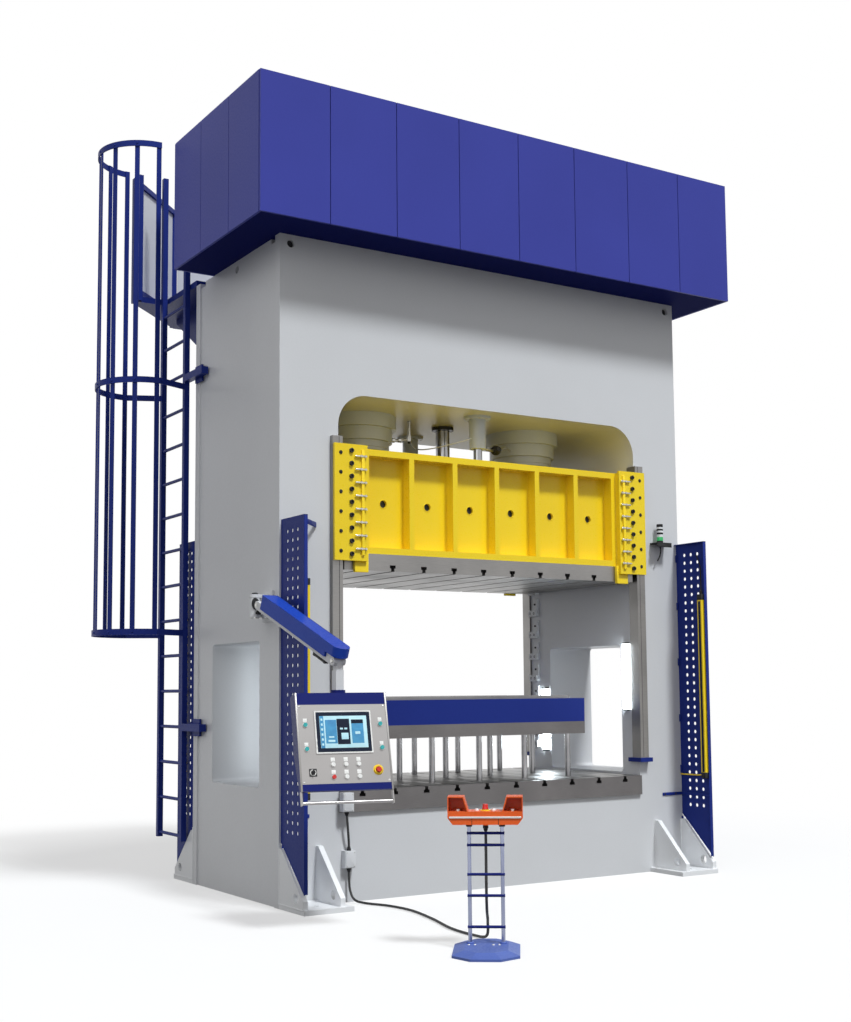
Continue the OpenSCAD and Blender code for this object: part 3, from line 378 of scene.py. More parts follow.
def turned_ring(profile: Profile, sides: int = 24) -> Patch:
    """Lathe ring: a closed (radius, height) outline swept about z, with no caps.

    Args:
        profile: outline, clockwise with the radius to the right and the height up.
        sides: steps round the ring.

    Returns:
        The closed ring.
    """
    row = np.asarray(profile, float)[::-1]
    angle = np.arange(sides) * 2 * math.pi / sides
    points = np.empty((sides, len(row), 3))
    points[..., 0] = np.cos(angle)[:, None] * row[None, :, 0]
    points[..., 1] = np.sin(angle)[:, None] * row[None, :, 0]
    points[..., 2] = row[None, :, 1]
    skin = loft(np.concatenate([points, points[:1]]), False)
    count = sides * len(row)
    return Patch(skin.points[:count], [tuple(i % count for i in face) for face in skin.faces])


def washer(inner: float, outer: float, thick: float) -> Patch:
    """Flat ring with a small chamfer, standing on z = 0."""
    soft = thick * 0.3
    top = [(inner, thick), (outer - soft, thick), (outer, thick - soft)]
    return turned_ring([(inner, 0), *top, (outer, 0)])


def weld(start: Point, end: Point, radius: float = 0.006) -> Patch:
    """Fillet weld: a thin bead whose radius swells and narrows along its length, as laid ripples do.

    Args:
        start: one end.
        end: the other end.
        radius: middle radius of the bead.

    Returns:
        The closed bead.
    """
    a, b = np.asarray(start, float), np.asarray(end, float)
    steps = max(int(np.linalg.norm(b - a) / 0.005), 4)
    t = np.linspace(0, 1, steps)[:, None]
    along = np.arange(steps)
    ripple = radius * (1 + 0.14 * np.sin(along * 2.1) + 0.06 * np.sin(along * 0.37))
    return tube(a + (b - a) * t, ripple, 6)


# Black disc a little below a hole's edge: painted shade that stands in for the dark depth of the hole
HOLE_SHADE_DISC = turned([(0.0297, 0.0), (0.0297, 0.002), (0.004, 0.0022)], 24)


# Finishes: colours and surfaces of the press's materials, with painted shade in one and painted
# reflection on the chrome


class Skin(Enum):
    """Shared surface effects that a finish can use."""

    PAINT = "paint_skin"
    # Streaks that are grinding grain on steel and painted reflection on chrome
    GRAIN_AND_SHEEN = "grain_and_sheen_skin"
    MOULDED = "moulded_skin"


class NodeDesk:
    """Lays out nodes in one tree, with short calls for what every effect needs."""

    def __init__(self, tree: bpy.types.NodeTree) -> None:
        """Keeps the tree that the nodes go into."""
        self.tree = tree

    def add(self, kind: str, inputs: dict[str | int, object] | None = None,
            **settings: object) -> bpy.types.Node:
        """Adds a node.

        Args:
            kind: Blender's name of the node type.
            inputs: a value or an output socket for each input, by its name or place.
            settings: properties of the node.

        Returns:
            The new node.
        """
        node = self.tree.nodes.new(kind)
        for name, value in settings.items():
            setattr(node, name, value)
        for name, value in (inputs or {}).items():
            self.feed(node.inputs[name], value)
        return node

    def feed(self, socket: Socket, value: object) -> None:
        """Links an output to a socket, or writes a plain value on it."""
        if isinstance(value, Socket):
            self.tree.links.new(value, socket)
        else:
            socket.default_value = value

    def noise(self, place: Socket, scale: object, detail: float, roughness: float = 0.5) -> Socket:
        """Cloud of values about 0.5 over the given coordinates."""
        feeds = {"Vector": place, "Scale": scale, "Detail": detail, "Roughness": roughness}
        return self.add("ShaderNodeTexNoise", feeds).outputs["Fac"]

    def spread(self, value: Socket, low: float, high: float, to_low: object = 0.0,
               to_high: object = 1.0) -> Socket:
        """Stretches values between low and high over a new range, and holds them there."""
        feeds = {"Value": value, "From Min": low, "From Max": high, "To Min": to_low, "To Max": to_high}
        return self.add("ShaderNodeMapRange", feeds).outputs["Result"]

    def sum_of(self, how: str, a: object, b: object) -> Socket:
        """Adds, multiplies or otherwise joins two values."""
        return self.add("ShaderNodeMath", {0: a, 1: b}, operation=how).outputs[0]

    def mixed(self, share: object, a: object, b: object) -> Socket:
        """Mixes two colours by a share from 0 to 1."""
        return self.add("ShaderNodeMix", {0: share, 6: a, 7: b}, data_type="RGBA").outputs[2]


class SkinShop:
    """Builds each shared surface effect once, as a shader node group."""

    IN_COLOURS = ("Tint", "Shade")
    IN_VALUES = ("Gloss", "Dull", "Cloud", "Grain")

    def __init__(self) -> None:
        """Starts with no group made."""
        self.made: dict[Skin, bpy.types.NodeTree] = {}

    def group(self, skin: Skin) -> bpy.types.NodeTree:
        """Gives the group of an effect, and builds it at its first use.

        Args:
            skin: the effect.

        Returns:
            A group that puts out Color, Roughness and Height.
        """
        if skin not in self.made:
            tree = bpy.data.node_groups.new(skin.value, "ShaderNodeTree")
            for name in self.IN_COLOURS:
                tree.interface.new_socket(name, in_out="INPUT", socket_type="NodeSocketColor")
            for name in self.IN_VALUES:
                tree.interface.new_socket(name, in_out="INPUT", socket_type="NodeSocketFloat")
            tree.interface.new_socket("Stretch", in_out="INPUT", socket_type="NodeSocketVector")
            tree.interface.new_socket("Color", in_out="OUTPUT", socket_type="NodeSocketColor")
            for name in ("Roughness", "Height"):
                tree.interface.new_socket(name, in_out="OUTPUT", socket_type="NodeSocketFloat")
            desk = NodeDesk(tree)
            feeds = desk.add("NodeGroupInput").outputs
            place = desk.add("ShaderNodeTexCoord").outputs["Object"]
            build = {Skin.PAINT: self.paint, Skin.GRAIN_AND_SHEEN: self.grain_and_sheen,
                     Skin.MOULDED: self.moulded}[skin]
            colour, rough, height = build(desk, feeds, place)
            desk.add("NodeGroupOutput", {"Color": colour, "Roughness": rough, "Height": height})
            self.made[skin] = tree
        return self.made[skin]

    @staticmethod
    def paint(desk: NodeDesk, feeds: Feeds, place: Socket) -> tuple:
        """Sprayed paint: slow clouds of tone, fine specks, dust towards the floor and orange peel.

        Args:
            desk: where the nodes go.
            feeds: the group's inputs.
            place: object coordinates.

        Returns:
            Colour, roughness and height sockets.
        """
        cloud = desk.spread(desk.noise(place, feeds["Cloud"], 4.0), 0.35, 0.68)
        speck = desk.spread(desk.noise(place, 70.0, 2.0), 0.36, 0.66)
        low = desk.add("ShaderNodeSeparateXYZ", {"Vector": place}).outputs["Z"]
        dust = desk.sum_of("MULTIPLY", desk.spread(low, 0.0, 0.5, 0.22, 0.0), cloud)
        slow, fine = desk.sum_of("MULTIPLY", cloud, 0.55), desk.sum_of("MULTIPLY", speck, 0.18)
        tone = desk.sum_of("ADD", slow, fine)
        share = desk.sum_of("MINIMUM", desk.sum_of("ADD", tone, dust), 1.0)
        colour = desk.mixed(share, feeds["Tint"], feeds["Shade"])
        rough = desk.spread(desk.sum_of("ADD", speck, dust), 0.0, 1.3, feeds["Gloss"], feeds["Dull"])
        return colour, rough, desk.noise(place, feeds["Grain"], 2.0)

    @staticmethod
    def grain_and_sheen(desk: NodeDesk, feeds: Feeds, place: Socket) -> tuple:
        """Metal: noise drawn out along one direction, with slow clouds of oil over it. On ground steel
        the streaks are grinding grain; on chrome they are painted reflection.

        Args:
            desk: where the nodes go.
            feeds: the group's inputs.
            place: object coordinates.

        Returns:
            Colour, roughness and height sockets.
        """
        both = {0: place, 1: feeds["Stretch"]}
        drawn = desk.add("ShaderNodeVectorMath", both, operation="MULTIPLY")
        line = desk.noise(drawn.outputs[0], feeds["Grain"], 5.0, 0.7)
        film = desk.spread(desk.noise(place, feeds["Cloud"], 3.0), 0.35, 0.7)
        share = desk.sum_of("MULTIPLY", desk.sum_of("ADD", desk.spread(line, 0.3, 0.7), film), 0.5)
        rough = desk.spread(share, 0.1, 0.9, feeds["Gloss"], feeds["Dull"])
        return desk.mixed(share, feeds["Tint"], feeds["Shade"]), rough, line

    @staticmethod
    def moulded(desk: NodeDesk, feeds: Feeds, place: Socket) -> tuple:
        """Moulded plastic or rubber: fine spark-eroded grain and light handling marks.

        Args:
            desk: where the nodes go.
            feeds: the group's inputs.
            place: object coordinates.

        Returns:
            Colour, roughness and height sockets.
        """
        grain = desk.noise(place, feeds["Grain"], 3.0, 0.6)
        marks = desk.spread(desk.noise(place, feeds["Cloud"], 4.0), 0.42, 0.7)
        colour = desk.mixed(marks, feeds["Tint"], feeds["Shade"])
        return colour, desk.spread(marks, 0.0, 1.0, feeds["Gloss"], feeds["Dull"]), grain


@dataclass(frozen=True)
class Finish:
    """One finish of the press: its colours, its gloss and the effect that varies them."""

    name: str
    slot: str
    tint: Colour
    shade: Colour
    skin: Skin = Skin.PAINT
    gloss: float = 0.32
    dull: float = 0.48
    cloud: float = 0.9
    grain: float = 420.0
    stretch: Point = (1.0, 1.0, 1.0)
    metallic: float = 0.0
    coat: float = 0.0
    bump: float = 0.06
    glow: float = 0.0
    shine: float = 0.5

    def material(self, shop: SkinShop) -> bpy.types.Material:
        """Builds the material.

        Args:
            shop: where the shared effects are.

        Returns:
            A material with one principled shader.
        """
        made = bpy.data.materials.new(self.name)
        made.use_nodes = True
        desk = NodeDesk(made.node_tree)
        shader = made.node_tree.nodes["Principled BSDF"]
        look = {"Tint": (*self.tint, 1.0), "Shade": (*self.shade, 1.0), "Gloss": self.gloss,
                "Dull": self.dull, "Cloud": self.cloud, "Grain": self.grain, "Stretch": self.stretch}
        skin = desk.add("ShaderNodeGroup", look, node_tree=shop.group(self.skin))
        relief = {"Height": skin.outputs["Height"], "Strength": self.bump, "Distance": BUMP_DEPTH}
        normal = desk.add("ShaderNodeBump", relief).outputs["Normal"]
        colour, rough = skin.outputs["Color"], skin.outputs["Roughness"]
        feeds = {"Base Color": colour, "Roughness": rough, "Normal": normal, "Metallic": self.metallic,
                 "Coat Weight": self.coat, "Specular IOR Level": self.shine}
        if self.glow:
            feeds |= {"Emission Color": colour, "Emission Strength": self.glow}
        for name, value in feeds.items():
            desk.feed(shader.inputs[name], value)
        return made


PRESS_GREY = Finish("press_grey", "frame_paint", (0.655, 0.668, 0.69), (0.60, 0.61, 0.625))
HOUSE_BLUE = Finish(
    "house_blue", "house_blue", (0.050, 0.062, 0.355), (0.043, 0.053, 0.305), gloss=0.4, dull=0.55,
    shine=0.13)
TRIM_BLUE = Finish(
    "trim_blue", "trim_blue", (0.016, 0.032, 0.215), (0.013, 0.025, 0.175), gloss=0.34, dull=0.5,
    shine=0.08)
ARM_BLUE = Finish(
    "arm_blue", "trim_blue", (0.013, 0.058, 0.42), (0.011, 0.048, 0.36), gloss=0.3, dull=0.45,
    cloud=3.0, shine=0.12)
CONSOLE_BLUE = Finish(
    "console_blue", "trim_blue", (0.010, 0.017, 0.145), (0.008, 0.014, 0.12), gloss=0.34, dull=0.5,
    shine=0.1)
# Darker, nearly unreflecting copy of the house blue on the head's frame: painted shade for the head's
# underside
PAINTED_SHADE_BLUE = Finish(
    "painted_shade_blue", "house_blue", (0.008, 0.012, 0.105), (0.007, 0.010, 0.09), gloss=0.6, dull=0.75,
    shine=0.015)
CYLINDER_GREY = Finish("cylinder_grey", "frame_paint", (0.58, 0.635, 0.76), (0.53, 0.58, 0.69))
FOOT_WHITE = Finish("foot_white", "frame_paint", (0.80, 0.815, 0.83), (0.745, 0.755, 0.77), cloud=2.5)
STAND_BLUE = Finish(
    "stand_blue", "trim_blue", (0.085, 0.14, 0.43), (0.07, 0.115, 0.37), gloss=0.34, dull=0.5,
    cloud=6.0, shine=0.3)
SLIDE_YELLOW = Finish(
    "slide_yellow", "slide_yellow", (0.94, 0.70, 0.02), (0.87, 0.61, 0.016), gloss=0.26, dull=0.42,
    coat=0.08, shine=0.3)
GROUND_STEEL = Finish(
    "ground_steel", "steel", (0.32, 0.31, 0.30), (0.215, 0.21, 0.205), Skin.GRAIN_AND_SHEEN, 0.3, 0.5, 2.2,
    9.0, (2.0, 40.0, 60.0), 1.0, bump=0.05)
DIE_STEEL = Finish(
    "die_steel", "steel", (0.19, 0.18, 0.18), (0.125, 0.12, 0.12), Skin.GRAIN_AND_SHEEN, 0.32, 0.52, 2.2, 9.0,
    (2.0, 40.0, 60.0), 1.0, bump=0.05)
STAINLESS = Finish(
    "stainless_sheet", "steel", (0.37, 0.357, 0.352), (0.30, 0.29, 0.285), Skin.GRAIN_AND_SHEEN, 0.28, 0.42,
    3.0, 12.0, (3.0, 60.0, 60.0), 1.0, bump=0.04)
# Hard chrome: the strong light and dark streaks along the rods and pins are painted reflection
HARD_CHROME = Finish(
    "hard_chrome", "chrome", (0.50, 0.50, 0.51), (0.17, 0.17, 0.18), Skin.GRAIN_AND_SHEEN, 0.09, 0.2, 2.0,
    14.0, (20.0, 20.0, 1.0), 1.0, bump=0.02)
# Chrome legs: their light and dark streaks and blue cast are painted reflection
STAND_STEEL = Finish(
    "stand_steel", "chrome", (0.40, 0.43, 0.56), (0.17, 0.19, 0.30), Skin.GRAIN_AND_SHEEN, 0.12, 0.24, 2.0,
    20.0, (30.0, 30.0, 1.0), 1.0, bump=0.02)
BLACK_OXIDE = Finish(
    "black_oxide", "black_metal", (0.028, 0.028, 0.030), (0.045, 0.045, 0.047), Skin.MOULDED, 0.32,
    0.5, 9.0, 300.0, shine=0.15)
ZINC = Finish(
    "zinc_plate", "palm_metal", (0.62, 0.62, 0.60), (0.47, 0.47, 0.46), Skin.GRAIN_AND_SHEEN, 0.25, 0.42, 30.0,
    60.0, (4.0, 4.0, 4.0), 1.0, bump=0.03)
BLACK_PLASTIC = Finish(
    "black_plastic", "black_plastic", (0.022, 0.022, 0.024), (0.036, 0.036, 0.038), Skin.MOULDED, 0.42,
    0.6, 12.0, 900.0, shine=0.12)
CORD_BLACK = Finish(
    "cord_black", "cord_rubber", (0.018, 0.018, 0.019), (0.035, 0.034, 0.034), Skin.MOULDED, 0.5, 0.68,
    14.0, 1200.0)
LAMP_WHITE = Finish(
    "lamp_white", "lamp_white", (0.86, 0.95, 1.0), (0.80, 0.90, 0.96), Skin.MOULDED, 0.2, 0.3, 20.0,
    600.0, glow=24.0)
LENS_WHITE = Finish(
    "lens_white", "lamp_white", (0.80, 0.83, 0.84), (0.72, 0.75, 0.77), Skin.MOULDED, 0.15, 0.28, 30.0,
    700.0)
STAND_ORANGE = Finish(
    "stand_orange", "stand_orange", (0.85, 0.13, 0.02), (0.74, 0.10, 0.016), gloss=0.22, dull=0.38,
    cloud=5.0, coat=0.1, shine=0.2)
LAMP_TEAL = Finish(
    "lamp_teal", "lamp_teal", (0.03, 0.36, 0.36), (0.02, 0.26, 0.27), Skin.MOULDED, 0.12, 0.22, 40.0,
    800.0, glow=0.12)
CAP_WHITE = Finish(
    "cap_white", "button_white", (0.80, 0.80, 0.78), (0.71, 0.71, 0.69), Skin.MOULDED, 0.25, 0.4, 40.0,
    900.0)
CAP_RED = Finish(
    "cap_red", "button_red", (0.60, 0.025, 0.02), (0.48, 0.018, 0.016), Skin.MOULDED, 0.2, 0.34, 40.0,
    900.0)
STOP_YELLOW = Finish(
    "stop_yellow", "slide_yellow", (0.86, 0.60, 0.02), (0.78, 0.52, 0.02), Skin.MOULDED, 0.3, 0.42,
    30.0, 900.0)
SIGNAL_GREEN = Finish(
    "signal_green", "lamp_teal", (0.03, 0.42, 0.12), (0.02, 0.32, 0.09), Skin.MOULDED, 0.1, 0.2, 30.0,
    700.0, glow=0.3)
SCREEN_DARK = Finish(
    "screen_dark", "black_plastic", (0.012, 0.018, 0.035), (0.018, 0.026, 0.048), Skin.MOULDED, 0.08,
    0.14, 8.0, 900.0, shine=0.12)
SCREEN_BLUE = Finish(
    "screen_blue", "black_plastic", (0.045, 0.235, 0.42), (0.03, 0.17, 0.35), Skin.MOULDED, 0.1, 0.16,
    18.0, 900.0, glow=0.3)
SCREEN_PALE = Finish(
    "screen_pale", "black_plastic", (0.40, 0.62, 0.68), (0.33, 0.56, 0.64), Skin.MOULDED, 0.1, 0.16,
    18.0, 900.0, glow=0.3)

NODE_FINISHES: dict[Finish, str] = {
    PRESS_GREY: "left_upright right_upright crown bed rail_keepers "
                "power_unit platform_panels cable_boxes arm_bracket arm_base arm_beam console_knuckle",
    FOOT_WHITE: "anchor_feet",
    CYLINDER_GREY: "main_cylinders return_cylinders",
    CONSOLE_BLUE: "console_housing",
    PAINTED_SHADE_BLUE: "head_frame",
    GROUND_STEEL: "guide_rails slide_plate cushion_table draw_plate",
    DIE_STEEL: "bolster holder_plate",
    STAINLESS: "console_face",
    HARD_CHROME: "slide_rods cushion_pins",
    STAND_STEEL: "stand_frame",
    HOUSE_BLUE: "head_panels",
    ARM_BLUE: "arm_cover",
    TRIM_BLUE: "rail_stops ladder ladder_cage platform_deck side_guards blank_holder",
    STAND_BLUE: "stand_base",
    SLIDE_YELLOW: "slide_box guide_blocks light_curtains",
    BLACK_OXIDE: "ram_glands cushion_cylinders",
    BLACK_PLASTIC: "selector_switch signal_tower",
    LAMP_WHITE: "work_lights",
    STAND_ORANGE: "stand_console",
    LAMP_TEAL: "pilot_lamps",
    CAP_WHITE: "console_screen mode_button_1 mode_button_2 mode_button_3 mode_button_5 mode_button_6",
    CAP_RED: "mode_button_4 console_stop stand_stop",
    ZINC: "palm_button_left palm_button_right",
    CORD_BLACK: "cord_upper cord_stand",
}


def linked(name: str, data: bpy.types.ID) -> bpy.types.Object:
    """A new object with the given data, linked into the scene."""
    made = bpy.data.objects.new(name, data)
    bpy.context.scene.collection.objects.link(made)
    return made


@dataclass
class Workshop:
    """Makes finished pieces: a mesh, its material and the body it rides on."""

    nodes: dict[str, bpy.types.Object]
    shop: SkinShop = field(default_factory=SkinShop)
    materials: dict[Finish, bpy.types.Material] = field(default_factory=dict)
    smooth_angle: float = math.radians(38)

    def material(self, finish: Finish) -> bpy.types.Material:
        """The material of a finish, built at its first use."""
        if finish not in self.materials:
            self.materials[finish] = finish.material(self.shop)
        return self.materials[finish]

    def dress(self, finish: Finish, names: Iterable[str]) -> None:
        """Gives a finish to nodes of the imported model.

        Args:
            finish: the finish.
            names: the nodes.
        """
        for name in names:
            mesh = self.nodes[name].data
            mesh.materials.clear()
            mesh.materials.append(self.material(finish))
            LOG.info("dressed %s in %s", name, finish.name)

    def add(self, name: str, shape: Patch | list[Patch], finish: Finish, body: str = FRAME,
            stands_for: Iterable[str] = ()) -> None:
        """Makes a new piece.

        Args:
            name: the piece's name.
            shape: its surface in the press's frame, or the patches of it.
            finish: its finish.
            body: the body that it moves with.
            stands_for: nodes that it takes the place of.
        """
        patch = shape if isinstance(shape, Patch) else Patch.joined(shape)
        mesh = bpy.data.meshes.new(name)
        mesh.from_pydata(patch.points.tolist(), [], patch.faces)
        mesh.validate()
        mesh.shade_smooth()
        mesh.set_sharp_from_angle(angle=self.smooth_angle)
        self.settle(linked(name, mesh), finish, body, stands_for)

    def settle(self, piece: bpy.types.Object, finish: Finish, body: str,
               stands_for: Iterable[str] = ()) -> None:
        """Gives a made object its material and body.

        Args:
            piece: the object.
            finish: its finish.
            body: the body that it moves with.
            stands_for: nodes that it takes the place of.
        """
        piece.data.materials.append(self.material(finish))
        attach(piece, body)
        if stands_for:
            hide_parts(*stands_for)
        LOG.info("made %s on %s", piece.name, body)


@dataclass(frozen=True)
class Sun:
    """A broad, far lamp: where it is, how strong and how wide, in degrees, and its colour."""

    name: str
    towards: Point
    strength: float
    softness: float
    colour: Colour

    def build(self) -> None:
        """Adds the lamp, with its light coming from the given direction."""
        data = bpy.data.lights.new(self.name, "SUN")
        data.energy = self.strength
        data.angle = math.radians(self.softness)
        data.color = self.colour
        turn = Vector(self.towards).to_track_quat("Z", "Y").to_matrix().to_4x4()
        linked(self.name, data).matrix_world = turn


@dataclass
class Studio:
    """Camera at the photograph's place, soft overhead light and a pale floor."""

    eye: Point = (-6.4208, -9.9232, 1.559)
    yaw: float = math.radians(32.14224)
    pitch: float = math.radians(5.26981)
    roll: float = math.radians(-0.46864)
    sensor: float = 36.0
    lens: float = 48.513
    rise: float = 0.05118
    far: float = 200.0
    suns: tuple[Sun, ...] = (
        Sun("key_sun", (0.10, -0.535, 0.845), 3.0, 10.0, (0.95, 0.98, 1.0)),
        Sun("side_fill", (-0.72, -0.45, 0.53), 0.55, 60.0, (1.0, 1.0, 1.0)))
    inner_place: Point = (-1.51, 0.12, 1.39)
    inner_sizes: Pair = (0.03, 1.0)
    inner_watts: float = 1.3
    inner_colour: Colour = (0.86, 0.95, 1.0)
    sky: Colour = (0.97, 0.98, 1.0)
    sky_strength: float = 0.37
    floor_half: float = 60.0
    floor_drop: float = 0.001
    floor_pale: Colour = (0.82, 0.82, 0.82)
    floor_bounce: Colour = (0.15, 0.147, 0.145)
    floor_white: float = 0.5
    floor_fade: Pair = (4.0, 8.0)

    def build(self) -> None:
        """Makes the camera, the light and the floor, and sets the plain view transform."""
        bpy.context.scene.view_settings.view_transform = "Standard"
        self.camera()
        for sun in self.suns:
            sun.build()
        self.inner_light()
        self.world()
        self.floor()

    def camera(self) -> None:
        """Looks along yaw and pitch: right and up are turned by the roll about the line of sight."""
        level_sin, level_cos = math.sin(self.yaw), math.cos(self.yaw)
        rise_sin, rise_cos = math.sin(self.pitch), math.cos(self.pitch)
        ahead = Vector((level_sin * rise_cos, level_cos * rise_cos, rise_sin))
        level = Vector((level_cos, -level_sin, 0.0))
        above = level.cross(ahead)
        right = level * math.cos(self.roll) + above * math.sin(self.roll)
        up = right.cross(ahead)
        data = bpy.data.cameras.new("photo_camera")
        data.sensor_width = self.sensor
        data.lens = self.lens
        data.shift_y = self.rise
        data.clip_end = self.far
        camera = linked("photo_camera", data)
        turn = Matrix((right, up, -ahead)).transposed().to_4x4()
        camera.matrix_world = Matrix.Translation(self.eye) @ turn
        bpy.context.scene.camera = camera

    def inner_light(self) -> None:
        """Adds the cool glow that the left upright's opening shows. Its lamp is out of sight."""
        data = bpy.data.lights.new("inner_light", "AREA")
        data.shape = "RECTANGLE"
        data.size, data.size_y = self.inner_sizes
        data.energy = self.inner_watts
        data.color = self.inner_colour
        towards_back = Matrix.Rotation(math.pi / 2, 4, "X")
        place = Matrix.Translation(self.inner_place) @ towards_back
        linked("inner_light", data).matrix_world = place

    @staticmethod
    def seen_share(desk: NodeDesk) -> Socket:
        """1 on rays that show the background: camera, glossy and transmission rays."""
        path = desk.add("ShaderNodeLightPath").outputs
        both = desk.sum_of("MAXIMUM", path["Is Camera Ray"], path["Is Glossy Ray"])
        return desk.sum_of("MAXIMUM", both, path["Is Transmission Ray"])

    @staticmethod
    def mix(desk: NodeDesk, share: Socket | float, a: bpy.types.Node,
            b: bpy.types.Node) -> bpy.types.Node:
        """Mixes two shaders by a share from 0 to 1."""
        return desk.add("ShaderNodeMixShader", {0: share, 1: a.outputs[0], 2: b.outputs[0]})

    def world(self) -> None:
        """White behind the press, and a dimmer even light on it."""
        world = bpy.data.worlds.new("studio_world")
        world.use_nodes = True
        world.node_tree.nodes.clear()
        desk = NodeDesk(world.node_tree)
        sky = {"Color": (*self.sky, 1.0), "Strength": self.sky_strength}
        light = desk.add("ShaderNodeBackground", sky)
        shown = desk.add("ShaderNodeBackground", {"Color": (1.0, 1.0, 1.0, 1.0), "Strength": 1.0})
        both = self.mix(desk, self.seen_share(desk), light, shown)
        desk.add("ShaderNodeOutputWorld", {"Surface": both.outputs[0]})
        bpy.context.scene.world = world

    def floor(self) -> None:
        """Pale floor that keeps the press's shadow, fades to white far off and bounces less light."""
        half, low = self.floor_half, -self.floor_drop
        mesh = bpy.data.meshes.new("studio_floor")
        corners = [(-half, -half, low), (half, -half, low), (half, half, low), (-half, half, low)]
        mesh.from_pydata(corners, [], [(0, 1, 2, 3)])
        floor = linked("studio_floor", mesh)
        made = bpy.data.materials.new("studio_floor")
        made.use_nodes = True
        made.node_tree.nodes.clear()
        desk = NodeDesk(made.node_tree)
        place = desk.add("ShaderNodeTexCoord").outputs["Object"]
        reach = desk.add("ShaderNodeVectorMath", {0: place}, operation="LENGTH").outputs["Value"]
        pale = desk.add("ShaderNodeBsdfDiffuse", {"Color": (*self.floor_pale, 1.0)})
        white = desk.add("ShaderNodeEmission", {"Color": (1.0, 1.0, 1.0, 1.0), "Strength": 1.0})
        bounce = desk.add("ShaderNodeBsdfDiffuse", {"Color": (*self.floor_bounce, 1.0)})
        soft = self.mix(desk, self.floor_white, pale, white)
        near = self.mix(desk, desk.spread(reach, *self.floor_fade), soft, white)
        shown = self.mix(desk, self.seen_share(desk), bounce, near)
        desk.add("ShaderNodeOutputMaterial", {"Surface": shown.outputs[0]})
        mesh.materials.append(made)


@dataclass
class Cords:
    """The control stand's black cord: from the bolster's box to the bed's, and on to the stand."""

    diameter: float = 0.018
    steps: int = 6
    roundness: int = 4
    upper: Route = (
        (-1.43, -0.855, 0.668), (-1.426, -0.856, 0.6), (-1.416, -0.85, 0.52), (-1.404, -0.838, 0.44),
        (-1.4, -0.83, 0.38))
    stand: Route = (
        (-1.4, -0.83, 0.255), (-1.4, -0.832, 0.18), (-1.398, -0.846, 0.09), (-1.385, -0.89, 0.028),
        (-1.35, -0.98, 0.012), (-1.27, -1.2, 0.012), (-1.25, -1.48, 0.012), (-1.32, -1.86, 0.012),
        (-1.42, -2.24, 0.012), (-1.44, -2.52, 0.012), (-1.45, -2.69, 0.03), (-1.478, -2.748, 0.13),
        (-1.56, -2.86, 0.215), (-1.598, -2.912, 0.32), (-1.598, -2.912, 0.48), (-1.598, -2.912, 0.64),
        (-1.598, -2.912, 0.735))

    def build(self, shop: Workshop) -> None:
        """Lays both lengths of cord.

        Args:
            shop: where the pieces are made.
        """
        for name, node, route in (("cord_run_upper", "cord_upper", self.upper),
                                  ("cord_run_stand", "cord_stand", self.stand)):
            path = smooth_path(route, self.steps)
            curve = bpy.data.curves.new(name, "CURVE")
            curve.dimensions = "3D"
            curve.bevel_depth = self.diameter / 2
            curve.bevel_resolution = self.roundness
            curve.use_fill_caps = True
            line = curve.splines.new("POLY")
            line.points.add(len(path) - 1)
            line.points.foreach_set("co", np.column_stack([path, np.ones(len(path))]).ravel())
            line.use_smooth = True
            piece = linked(name, curve)
            shop.settle(piece, CORD_BLACK, FRAME, [node])


